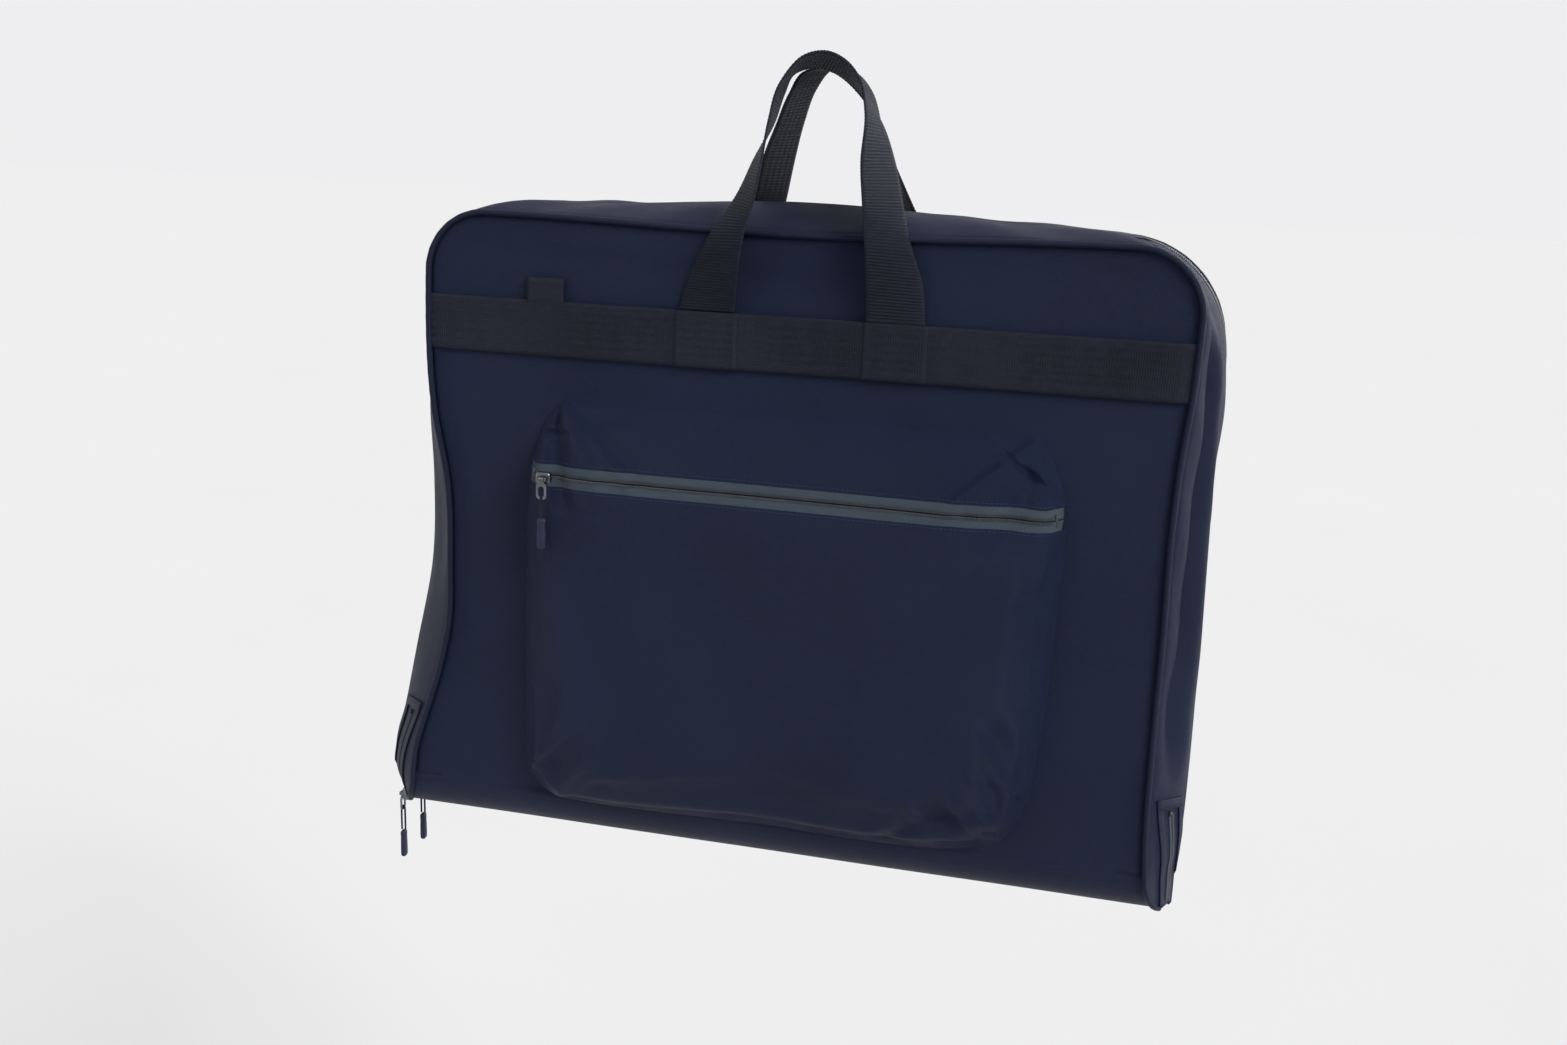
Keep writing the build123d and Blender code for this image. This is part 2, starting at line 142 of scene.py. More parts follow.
# ---- Outlines of the panels and of the middle seam, as half widths over the height ----
edges = {
    FRONT: (
        through(
            (0, 307), (29, 305), (64, 300), (92, 291), (133, 278),
            (170, 270), (217, 268), (284, 269), (335, 278), (500, 280),
        ),
        through(
            (0, 279), (60, 273.5), (160, 271), (219, 270.5), (291, 269), (340, 270), (388, 273.5), (500, 275),
        ),
    ),
    "middle": (
        through(
            (0, 325), (8, 329), (22, 337), (45, 336), (79, 328),
            (135, 316), (205, 301), (300, 297), (500, 296),
        ),
        through((0, 295), (60, 298), (155, 297.5), (222, 295), (335, 291.5), (407, 291), (500, 292)),
    ),
    REAR: (
        through((0, 306), (60, 303), (120, 293), (200, 285), (500, 284)),
        through((0, 286), (60, 286), (160, 288), (280, 292), (400, 293), (440, 290), (500, 286)),
    ),
}
corners = {FRONT: 46.0, "middle": 108.0, REAR: 74.0}
tops = {FRONT: 487.0, "middle": 494.0, REAR: 489.0}
crowns = {FRONT: -4.5, "middle": 8.0, REAR: -1.5}


def crown(which, x, h):
    """How far the top edge's bow moves a point up."""
    left = -edges[which][0](tops[which]) + corners[which]
    right = edges[which][1](tops[which]) - corners[which]
    share = np.clip((x - left) / (right - left), 0, 1)
    return crowns[which] * np.sin(pi * share) ** 2 * smooth((h - tops[which] + 130) / 130)


def outline(which):
    """Edge from the fold up the left side, round the corner, across the top and down the right side."""
    corner, top = corners[which], tops[which]
    start = top - corner
    heights = np.concatenate([np.linspace(0, lid_low - 0.4, 14), np.linspace(lid_low + 0.4, start, 96)])
    angles = np.linspace(0, pi / 2, 22)[1:]
    left, right = edges[which]
    lc, rc = -left(start) + corner, right(start) - corner
    across = np.linspace(lc, rc, 120)[1:-1]
    turn_in, rise = corner * np.cos(angles), corner * np.sin(angles)
    x = np.concatenate([-left(heights), lc - turn_in, across, rc + turn_in[::-1], right(heights[::-1])])
    h = np.concatenate([heights, start + rise, across * 0 + top, start + rise[::-1], heights[::-1]])
    return np.stack([x, h + crown(which, x, h)], 1)


rims = {which: outline(which) for which in (FRONT, "middle", REAR)}


def zip_depth(side, h):
    """Distance of a side's main zip line from the middle plane."""
    (d0, h0), (d1, h1) = zip_lines[side]
    return d0 + (d1 - d0) * (np.clip(h, h0 - 12, h1) - h0) / (h1 - h0)


def deepest(h):
    """How far out the side wall reaches at a height: it rounds inward to the fold."""
    drop = np.clip(fold_radius + fold_clear - h, 0, fold_radius)
    return half_gap + np.sqrt(fold_radius**2 - drop**2)


def on_gusset(side, depth, lift, rim=slice(None)):
    """Points on one half's side wall, one for each rim point, at a depth and a height off the cloth."""
    panel, middle = rims[side], rims["middle"]
    h = middle[:, 1:2] * 0.5 + panel[:, 1:2] * 0.5
    depth = np.broadcast_to(np.asarray(depth, float).reshape(-1, 1), h.shape)
    depth = np.minimum(depth, deepest(h))
    share = depth / half_depth
    flat = middle + (panel - middle) * share
    along = np.gradient(flat, axis=0)
    outward = np.stack([-along[:, 1], along[:, 0]], 1)
    outward /= np.linalg.norm(outward, axis=1, keepdims=True)
    run = np.sum((middle - panel) * outward, 1, keepdims=True)
    place = np.arange(len(flat))[:, None]
    belly = 2.2 + 1.5 * np.sin(place / 11.0 + side) * np.sin(place / 4.3)
    belly = np.sin(pi * np.clip(share, 0, 1)) * belly
    belly = belly - 1.6 * np.exp(-(((half_depth - depth) / 2.6) ** 2))
    if side == FRONT:
        belly = belly - pinch(middle[:, :1], middle[:, 1:2], share)
    flat = flat + outward * belly * smooth((h - 8) / 40)
    normal = np.concatenate([outward * half_depth, side * run], 1)
    normal /= np.linalg.norm(normal, axis=1, keepdims=True)
    points = np.stack([flat[:, 0], side * depth[:, 0], flat[:, 1]], 1)
    return (points + normal[:, [0, 2, 1]] * np.reshape(lift, (-1, 1)))[rim]


def pinch(x, h, share):
    """How far the slack front side wall folds inward along its middle, mostly on the right."""
    right = smooth((h - 88) / 60) * smooth((470 - h) / 90) * (x > 0)
    wander = 0.47 + 0.10 * np.sin(h / 62.0) + 0.03 * np.sin(h / 19.0)
    valley = np.exp(-(((share - wander) / 0.17) ** 2)) * (8.5 + 2.0 * np.sin(h / 34.0))
    ridge = 2.2 * np.exp(-(((share - wander + 0.34) / 0.14) ** 2))
    left = smooth((h - 140) / 60) * smooth((440 - h) / 60) * (x < 0)
    return right * (valley - ridge) + left * 2.0 * np.exp(-(((share - 0.6) / 0.25) ** 2))


def gusset_grid(side, near, far, rim=slice(None), lift=0.0, columns=9):
    """Grid over the side wall between two depths, each a number or one for each rim point."""
    shares = np.linspace(0, 1, columns)
    return np.stack([on_gusset(side, near + (far - near) * s, lift, rim) for s in shares], 1)


# ---- Faces of the panels ----
def panel_swell(side, x, h):
    """How far a panel's face stands out from flat."""
    across = np.clip(np.abs(x) / 284, 0, 1)
    swell = 2.2 * (1 - across**4) * np.sin(pi * np.clip(h / 487, 0, 1)) ** 0.7
    swell = swell + 0.8 * waves(x, h, 46, 2.0 + side) + 1.6 * waves(x, h, 120, 0.7)
    if side == FRONT:
        dent = np.exp(-(((x - 213) / 9) ** 2) - ((h - 470) / 5) ** 2)
        crease = np.exp(-(((h - 458 + (x + 150) * 0.05) / 9) ** 2))
        crease = crease * smooth((x + 260) / 60) * smooth((60 - x) / 90)
        swell = swell - 1.3 * dent - 0.8 * crease
    return swell * smooth((h - 30) / 50)


def edge_dip(distance, along):
    """Cloth turning in under the piping, with small puckers along the seam."""
    near = np.exp(-((distance / 3.0) ** 2))
    pucker = np.sin(along / 2.9) * np.exp(-(((distance - 6.5) / 4.5) ** 2))
    return -2.0 * near + 0.2 * pucker


def face_depth(side, x, h):
    """Depth of the panel's outer face away from its edge."""
    return half_depth + panel_swell(side, x, h)


def row_ends(which, heights):
    """Left and right ends of level rows inside an outline, without its crown."""
    corner, start = corners[which], tops[which] - corners[which]
    left, right = edges[which]
    rise = np.clip((heights - start) / corner, 0, 1)
    inset = corner * (1 - np.sqrt(1 - rise**2))
    level = np.minimum(heights, start)
    return -left(level) + inset, right(level) - inset


def panel_heights(which, low):
    """Heights of a panel's rows, closer at the corners and under the top seam."""
    corner, top = corners[which], tops[which]
    straight = np.linspace(low, top - corner, int((top - corner - low) / 4.5))
    angles = np.linspace(0, pi / 2, 16)[1:]
    rounded = top - corner + corner * np.sin(angles)
    return np.unique(np.concatenate([straight, rounded, top - np.array([0.8, 1.8, 3.5, 6.0, 9.0])]))


edge_steps = np.array([0, 0.8, 1.8, 3.2, 5.5, 8.5, 12.5])


def row_places(left, right, count=112):
    """Places along a row, closer together beside both seams."""
    inner = np.linspace(left + 17, right - 17, count)
    return np.concatenate([left + edge_steps, inner, (right - edge_steps)[::-1]])


def panel_grid(side, low):
    """Outer face of a panel from a height up to its top seam."""
    rows = []
    for h in panel_heights(side, low):
        left, right = row_ends(side, np.array([h]))
        x = row_places(left[0], right[0])
        distance = np.minimum(np.minimum(x - left, right - x), tops[side] - h)
        along = np.where(tops[side] - h < np.minimum(x - left, right - x), x, h)
        depth = face_depth(side, x, h)
        depth = half_depth + (depth - half_depth) * smooth(distance / 22) + edge_dip(distance, along)
        rows.append(np.stack([x, side * depth, h + crown(side, x, h)], 1))
    return np.array(rows)


def fold_grid(first_low, last_low):
    """The cloth that turns the fold, from the front panel's foot to the rear panel's."""
    front_angles = np.linspace(0, pi / 2, 13)
    rows = []
    stations = [(FRONT, h, None) for h in np.linspace(first_low, fold_radius + fold_clear, 3)[:-1]]
    stations += [(FRONT, None, a) for a in front_angles]
    stations += [(REAR, None, a) for a in front_angles[::-1]]
    stations += [(REAR, h, None) for h in np.linspace(fold_radius + fold_clear, last_low, 3)[1:]]
    for side, h, angle in stations:
        depth = half_depth
        if angle is not None:
            depth = half_gap + fold_radius * cos(angle)
            h = fold_clear + fold_radius * (1 - sin(angle))
        share = depth / half_depth
        ends = []
        for hand in (0, 1):
            middle, panel = (float(edges[which][hand](h)) for which in ("middle", side))
            ends.append(middle + (panel - middle) * share)
        x = row_places(-ends[0], ends[1])
        swell = panel_swell(side, x, h) * share
        height = h + 0.6 * waves(x, 0, 60, 1.0) * (1 - share)
        rows.append(np.stack([x, side * (depth + swell), height], 1))
    return np.array(rows)


# ---- Mesh making ----
def slab_faces(rows, columns):
    """Front, back and rim faces of a slab whose front points come first, then its back points."""
    index = np.arange(rows * columns).reshape(rows, columns)
    quads = np.stack([index[:-1, :-1], index[:-1, 1:], index[1:, 1:], index[1:, :-1]], 2).reshape(-1, 4)
    ring = np.concatenate([index[0, :-1], index[:-1, -1], index[-1, :0:-1], index[:0:-1, 0]])
    after = np.roll(ring, -1)
    rim = np.stack([after, ring, ring + rows * columns, after + rows * columns], 1)
    return np.concatenate([quads, quads[:, ::-1] + rows * columns, rim])


def tube_faces(count, sides):
    """Faces of a closed tube of so many rings, each with so many points."""
    faces = []
    for i in range(count - 1):
        for j in range(sides):
            k = (j + 1) % sides
            faces.append([i * sides + j, i * sides + k, (i + 1) * sides + k, (i + 1) * sides + j])
    faces.append(list(range(sides))[::-1])
    faces.append([(count - 1) * sides + j for j in range(sides)])
    return faces


class Build:
    """Collects the vertices, faces and texture places of one piece."""

    def __init__(self):
        self.points, self.uvs, self.faces, self.count = [], [], [], 0

    def add(self, points, uvs, faces):
        self.points.append(np.asarray(points, float).reshape(-1, 3))
        self.uvs.append(np.asarray(uvs, float).reshape(-1, 2))
        self.faces += [[i + self.count for i in face] for face in faces]
        self.count += len(self.points[-1])

    def sheet(self, grid, thick, flip=False):
        """Cloth whose outer face is the grid, with its thickness behind it."""
        rows, columns = grid.shape[:2]
        across, along = np.gradient(grid, axis=1), np.gradient(grid, axis=0)
        normal = np.cross(across, along)
        normal /= np.linalg.norm(normal, axis=2, keepdims=True) + 1e-9
        if flip:
            normal = -normal
        steps_u = np.linalg.norm(np.diff(grid, axis=1), axis=2)
        steps_v = np.linalg.norm(np.diff(grid, axis=0), axis=2)
        u = np.concatenate([np.zeros((rows, 1)), np.cumsum(steps_u, 1)], 1)
        u = u - u[:, -1:] / 2
        v = np.concatenate([np.zeros((1, columns)), np.cumsum(steps_v, 0)], 0).mean(1, keepdims=True) + u * 0
        uv = np.stack([u, v], 2)
        both = np.concatenate([grid.reshape(-1, 3), (grid - normal * thick).reshape(-1, 3)])
        faces = slab_faces(rows, columns)
        if flip:
            faces = faces[:, ::-1]
        self.add(both, np.concatenate([uv.reshape(-1, 2)] * 2), faces.tolist())

    def tube(self, line, radius, sides):
        """Round cord along a line."""
        line = np.asarray(line, float)
        along = np.gradient(line, axis=0)
        along /= np.linalg.norm(along, axis=1, keepdims=True)
        guide = np.array([0.02, -1.0, 0.05])
        first = np.cross(along, guide)
        first /= np.linalg.norm(first, axis=1, keepdims=True)
        second = np.cross(along, first)
        angles = np.arange(sides) * 2 * pi / sides
        turn = angles[None, :, None]
        ring = np.cos(turn) * first[:, None] + np.sin(turn) * second[:, None]
        points = line[:, None] + ring * np.reshape(radius, (-1, 1, 1))
        length = np.concatenate([[0], np.cumsum(np.linalg.norm(np.diff(line, axis=0), axis=1))])
        uv = np.stack(np.broadcast_arrays(angles[None, :], length[:, None]), 2)
        self.add(points, uv, tube_faces(len(line), sides))

    def beads(self, centres, along, across, outward, size, taper=0.72):
        """Small rounded bars: one at each centre, longest across, with softened ends and top."""
        length, width, height = np.array(size) / 2
        section = [(-1, -1), (-1, 0.3), (-0.5, 1), (0.5, 1), (1, 0.3), (1, -1)]
        stations = [(-1, taper), (-0.75, 1), (0.75, 1), (1, taper)]
        faces = [list(range(6)), [23 - j for j in range(6)]]
        for i in range(3):
            for j in range(6):
                k = (j + 1) % 6
                faces.append([i * 6 + k, i * 6 + j, i * 6 + 6 + j, i * 6 + 6 + k])
        for centre, a, c, o in zip(centres, along, across, outward):
            points = [
                centre + c * length * s + a * width * p * f + o * height * (q * f if q > 0 else q)
                for s, f in stations
                for p, q in section
            ]
            self.add(points, np.zeros((24, 2)), faces)

    def make(self, name, slot, material, body=None, nodes=(), across=None):
        """The finished piece. It rides on a body, or, when across (body, body, start, end) is given, has its
        place baked into its mesh and rides on no body.
        """
        points = np.concatenate(self.points)
        points = (points + np.array([0, 0, fold])) * 0.001
        mesh = bpy.data.meshes.new(name)
        mesh.from_pydata(points.tolist(), [], self.faces)
        layer = mesh.uv_layers.new(name="cloth")
        uvs = np.concatenate(self.uvs) * 0.001
        corner = np.empty(len(mesh.loops), np.int32)
        mesh.loops.foreach_get("vertex_index", corner)
        layer.data.foreach_set("uv", uvs[corner].astype(np.float32).ravel())
        mesh.polygons.foreach_set("use_smooth", np.ones(len(mesh.polygons), bool))
        mesh.validate()
        piece = bpy.data.objects.new(name, mesh)
        bpy.context.collection.objects.link(piece)
        return dress(piece, material, body, nodes, across)


def dress(piece, material, body=None, nodes=(), across=None):
    """Give a piece its material, what it replaces and what it moves with."""
    piece.data.materials.clear()
    piece.data.materials.append(material)
    if nodes:
        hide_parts(*nodes)
    if across:
        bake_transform(piece)
    else:
        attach(piece, body)
    return piece


# ---- Materials ----
class Nodes:
    """A material's node tree, with short ways to add to it."""

    def __init__(self, name, roughness, metallic=0.0, sheen=0.0, specular=0.5):
        self.material = bpy.data.materials.new(name)
        self.material.use_nodes = True
        self.tree = self.material.node_tree
        self.shader = self.tree.nodes["Principled BSDF"]
        self.shader.inputs["Roughness"].default_value = roughness
        self.shader.inputs["Metallic"].default_value = metallic
        self.shader.inputs["Specular IOR Level"].default_value = specular
        self.shader.inputs["Sheen Weight"].default_value = sheen
        self.shader.inputs["Sheen Roughness"].default_value = 0.45
        self.shader.inputs["Sheen Tint"].default_value = (0.55, 0.62, 0.85, 1)

    def node(self, kind, **settings):
        made = self.tree.nodes.new(kind)
        for key, value in settings.items():
            setattr(made, key, value)
        return made

    def link(self, source, target):
        self.tree.links.new(source, target)

    def maths(self, operation, first, second=None):
        made = self.node("ShaderNodeMath", operation=operation)
        for socket, value in zip(made.inputs, (first, second)):
            if value is None:
                continue
            if isinstance(value, (int, float)):
                socket.default_value = value
            else:
                self.link(value, socket)
        return made.outputs[0]

    def noise(self, scale, detail=2.0, stretch=None):
        where = self.node("ShaderNodeTexCoord").outputs["Object"]
        if stretch:
            mapping = self.node("ShaderNodeMapping")
            mapping.inputs["Scale"].default_value = stretch
            self.link(where, mapping.inputs["Vector"])
            where = mapping.outputs["Vector"]
        made = self.node("ShaderNodeTexNoise")
        made.inputs["Scale"].default_value = scale
        made.inputs["Detail"].default_value = detail
        self.link(where, made.inputs["Vector"])
        return made.outputs["Fac"]

    def colour(self, factor, low, high, start=0.3, end=0.7):
        ramp = self.node("ShaderNodeValToRGB")
        ramp.color_ramp.elements[0].position = start
        ramp.color_ramp.elements[1].position = end
        ramp.color_ramp.elements[0].color = (*low, 1)
        ramp.color_ramp.elements[1].color = (*high, 1)
        self.link(factor, ramp.inputs["Fac"])
        return ramp.outputs["Color"]

    def spread(self, factor, low, high):
        made = self.node("ShaderNodeMapRange")
        made.inputs["To Min"].default_value = low
        made.inputs["To Max"].default_value = high
        self.link(factor, made.inputs["Value"])
        return made.outputs["Result"]

    def threads(self, pitch_u, pitch_v):
        """Over-and-under relief of crossing threads, by the piece's texture places in metres."""
        parts = self.node("ShaderNodeSeparateXYZ")
        self.link(self.node("ShaderNodeTexCoord").outputs["UV"], parts.inputs[0])
        u = self.maths("SINE", self.maths("MULTIPLY", parts.outputs[0], 2 * pi / pitch_u * 1000))
        v = self.maths("SINE", self.maths("MULTIPLY", parts.outputs[1], 2 * pi / pitch_v * 1000))
        return self.maths("MULTIPLY", u, v)

    def bump(self, height, distance, strength=1.0, under=None):
        made = self.node("ShaderNodeBump")
        made.inputs["Strength"].default_value = strength
        made.inputs["Distance"].default_value = distance
        self.link(height, made.inputs["Height"])
        if under is not None:
            self.link(under, made.inputs["Normal"])
        return made.outputs["Normal"]

    def finish(self, colour, roughness, normal):
        self.link(colour, self.shader.inputs["Base Color"])
        self.link(roughness, self.shader.inputs["Roughness"])
        self.link(normal, self.shader.inputs["Normal"])
        return self.material


def woven(name, low, high, pitch, relief, roughness, pitch_v=None, specular=0.16, sheen=0.02, show=0.06):
    """Woven cloth: threads, slubs, faint patches of tone and soft unevenness."""
    n = Nodes(name, roughness, sheen=sheen, specular=specular)
    threads = n.threads(pitch, pitch_v or pitch)
    patches = n.noise(7.0, 3.0)
    slubs = n.noise(160.0, 3.0, stretch=(1.0, 1.0, 3.0))
    tone = n.maths("ADD", n.maths("MULTIPLY", patches, 0.55), n.maths("MULTIPLY", slubs, 0.45))
    tone = n.maths("ADD", tone, n.maths("MULTIPLY", threads, show))
    colour = n.colour(tone, low, high, 0.34, 0.66)
    soft = n.bump(n.noise(28.0, 2.0), 0.0006, 0.5)
    normal = n.bump(threads, relief, 0.8, soft)
    normal = n.bump(n.noise(900.0, 2.0), relief * 0.7, 0.6, normal)
    return n.finish(colour, n.spread(slubs, roughness - 0.07, roughness + 0.07), normal)


def moulded(name, low, high, roughness, grain, scale, metallic=0.0, specular=0.5):
    """Moulded plastic, rubber or plated metal, with rubbed patches and fine grain."""
    n = Nodes(name, roughness, metallic=metallic, specular=specular)
    patches = n.noise(120.0, 4.0)
    colour = n.colour(patches, low, high, 0.35, 0.68)
    normal = n.bump(n.noise(scale, 3.0), grain, 0.7)
    normal = n.bump(n.noise(60.0, 2.0, stretch=(14.0, 14.0, 1.0)), grain * 0.6, 0.4, normal)
    return n.finish(colour, n.spread(patches, roughness - 0.1, roughness + 0.12), normal)


shell = woven(
    "shell", (0.0030, 0.0062, 0.0212), (0.0054, 0.0098, 0.0300), 0.55, 0.00014, 0.48, specular=0.13,
)
# The piping is the shell's own cloth. Its colour is painted darker than the shell's, as painted shade of the
# seam grooves on both sides of it.
shade_painted_piping = woven(
    "piping", (0.0026, 0.0050, 0.0160), (0.0046, 0.0080, 0.0225), 0.55, 0.00012, 0.5, specular=0.12,
)
ribbed = woven(
    "webbing", (0.0032, 0.0048, 0.0100), (0.0110, 0.0142, 0.0235), 1.1, 0.00030, 0.58, 1.7, 0.13, show=0.22,
)
lining_cloth = woven(
    "lining", (0.007, 0.011, 0.025), (0.011, 0.016, 0.034), 0.4, 0.00006, 0.45, specular=0.2, sheen=0.03,
)
tape_cloth = woven(
    "zip_tape", (0.028, 0.038, 0.050), (0.040, 0.052, 0.066), 0.9, 0.00018, 0.7, 0.6, 0.12, show=0.15,
)
navy_thread = woven(
    "navy_thread", (0.010, 0.014, 0.036), (0.016, 0.022, 0.050), 0.3, 0.00005, 0.6, specular=0.15,
)
thread = woven("thread", (0.030, 0.036, 0.058), (0.050, 0.058, 0.084), 0.3, 0.00005, 0.6, specular=0.2)
coil = moulded("zip_coil", (0.012, 0.016, 0.021), (0.024, 0.030, 0.038), 0.36, 0.00003, 900.0, specular=0.4)
metal = moulded("metal", (0.10, 0.11, 0.12), (0.18, 0.19, 0.21), 0.32, 0.00003, 1400.0, metallic=1.0)
rubber = moulded(
    "tab", (0.0050, 0.0085, 0.0250), (0.0085, 0.0130, 0.0330), 0.5, 0.00005, 1600.0, specular=0.25,
)
braid = woven("cord", (0.005, 0.008, 0.018), (0.010, 0.014, 0.030), 0.7, 0.0001, 0.6)
elastic_cloth = woven(
    "elastic", (0.005, 0.006, 0.009), (0.009, 0.010, 0.014), 0.9, 0.0002, 0.7, 1.4, sheen=0.03,
)
net_cloth = woven("mesh", (0.008, 0.010, 0.015), (0.013, 0.015, 0.022), 0.5, 0.00008, 0.6, sheen=0.03)


def across_fold():
    """The two halves and two points beside the fold line, passed with the outer cloth that turns the fold."""
    z = fold * 0.001
    return ("front_half", "rear_half", (0, -0.036, z), (0, 0.036, z))


# ---- Shell ----
def make_shell():
    front = panel_grid(FRONT, fold_radius + fold_clear)
    turn = fold_grid(fold_radius + fold_clear, lid_low - 0.3)
    build = Build()
    build.sheet(np.concatenate([front[::-1], turn[1:]]), cloth, flip=True)
    build.make("front_cloth", "shell", shell, nodes=["front_panel", "fold_panel"], across=across_fold())
    build = Build()
    build.sheet(panel_grid(REAR, lid_low + 0.3), cloth, flip=True)
    build.make("rear_cloth", "shell", shell, "lid", ["rear_panel"])


def make_gussets():
    x, h = rims["middle"].T
    strips = {
        "left": np.flatnonzero(x <= -gusset_split),
        "top": np.flatnonzero(np.abs(x) <= gusset_split + 4),
        "right": np.flatnonzero(x >= gusset_split),
    }
    for name, rim in strips.items():
        build = Build()
        build.sheet(gusset_grid(FRONT, half_gap, half_depth + gusset_over, rim, columns=25), cloth, flip=True)
        if name != "top":
            for grid in garage_hems(rim):
                build.sheet(grid, 1.2, flip=True)
        build.make(f"front_gusset_{name}_cloth", "shell", shell, "front_half", [f"front_gusset_{name}"])
        line = zip_depth(REAR, h)
        build = Build()
        build.sheet(gusset_grid(REAR, half_gap, line - zip_slot, rim), cloth)
        if name != "top":
            foot = rim[h[rim] < lid_low]
            build.sheet(gusset_grid(REAR, line + zip_slot, half_depth + gusset_over, foot, columns=5), cloth)
        build.make(f"rear_gusset_{name}_cloth", "shell", shell, "rear_half", [f"rear_gusset_{name}"])
        above = rim[h[rim] > lid_low]
        build = Build()
        build.sheet(gusset_grid(REAR, line + zip_slot, half_depth + gusset_over, above, columns=5), cloth)
        build.make(f"lid_gusset_{name}_cloth", "shell", shell, "lid", [f"lid_gusset_{name}"])


def garage_hems(rim):
    """Turned edges of the front gusset's cloth beside the short zip and across its upper end."""
    h = rims["middle"][:, 1]
    line = zip_depth(FRONT, h)
    inner, outer = np.maximum(line - 14, half_gap), line + 13
    mouth = 8.6
    low = rim[h[rim] < zip_garage + 4]
    across = rim[(h[rim] > zip_garage - 1) & (h[rim] < zip_garage + 9)]
    yield gusset_grid(FRONT, inner, line - mouth, low, 1.5, 5)
    yield gusset_grid(FRONT, line + mouth, outer, low, 1.5, 5)
    yield gusset_grid(FRONT, inner, outer, across, 1.7, 9)


def piping_line(side, low, high=np.inf):
    """Centre line of a panel's piping, from a height on the left side round to the right side."""
    rim = rims[side]
    h = rim[:, 1]
    depth = np.minimum(half_depth, deepest(h)) + 1.0
    share = np.clip(depth / half_depth, 0, 1)
    x = rims["middle"][:, 0] + (rim[:, 0] - rims["middle"][:, 0]) * share
    return np.stack([x, side * depth, h], 1)[(h >= low) & (h <= high)]


def make_piping():
    radius, foot, clear = 2.2, 1.0, 1.5
    for name, body, side, low in (
        ("front", "front_half", FRONT, foot),
        ("rear", "lid", REAR, lid_low + clear),
    ):
        build = Build()
        line = piping_line(side, low)
        build.tube(line, radius + 0.08 * np.sin(np.arange(len(line)) * 1.9), 14)
        build.make(f"{name}_corded_edge", "piping", shade_painted_piping, body, [f"{name}_piping"])
    build = Build()
    line = piping_line(REAR, foot, lid_low - clear)
    half = len(line) // 2
    for part in (line[:half], line[half:]):
        build.tube(part, radius, 14)
    build.make("fold_corded_edge", "piping", shade_painted_piping, "rear_half", ["fold_piping"])


# ---- Zips ----
def evenly(line, pitch):
    """Points at an even pitch along a line, with the line's direction there."""
    steps = np.concatenate([[0], np.cumsum(np.linalg.norm(np.diff(line, axis=0), axis=1))])
    places = np.arange(pitch / 2, steps[-1], pitch)
    points = np.stack([np.interp(places, steps, line[:, k]) for k in range(3)], 1)
    ahead = np.stack([np.interp(places + 0.5, steps, line[:, k]) for k in range(3)], 1)
    behind = np.stack([np.interp(places - 0.5, steps, line[:, k]) for k in range(3)], 1)
    along = ahead - behind
    along /= np.linalg.norm(along, axis=1, keepdims=True)
    return points, along, places / steps[-1]


def coil_row(build, side, rim, reach, size=(2.9, 1.15, 1.5)):
    """One side of a main zip's coil: rounded turns at an even pitch."""
    line = zip_depth(side, rims["middle"][:, 1])
    lift = 1.5 if side == FRONT else 1.15
    centre = on_gusset(side, line + reach, lift, rim)
    above = on_gusset(side, line + reach, lift + 1, rim)
    beside = on_gusset(side, line + reach + 1, lift, rim)
    points, along, share = evenly(centre, coil_pitch)
    spots = share * (len(rim) - 1)
    pick = np.clip(np.round(spots).astype(int), 0, len(rim) - 1)
    outward, across = (above - centre)[pick], (beside - centre)[pick]
    outward /= np.linalg.norm(outward, axis=1, keepdims=True)
    across /= np.linalg.norm(across, axis=1, keepdims=True)
    lean = across + along * 0.28 * np.sign(reach)
    build.beads(points, along, lean, outward, size)
    build.tube(centre + (above - centre) * 0.1, 0.55, 6)


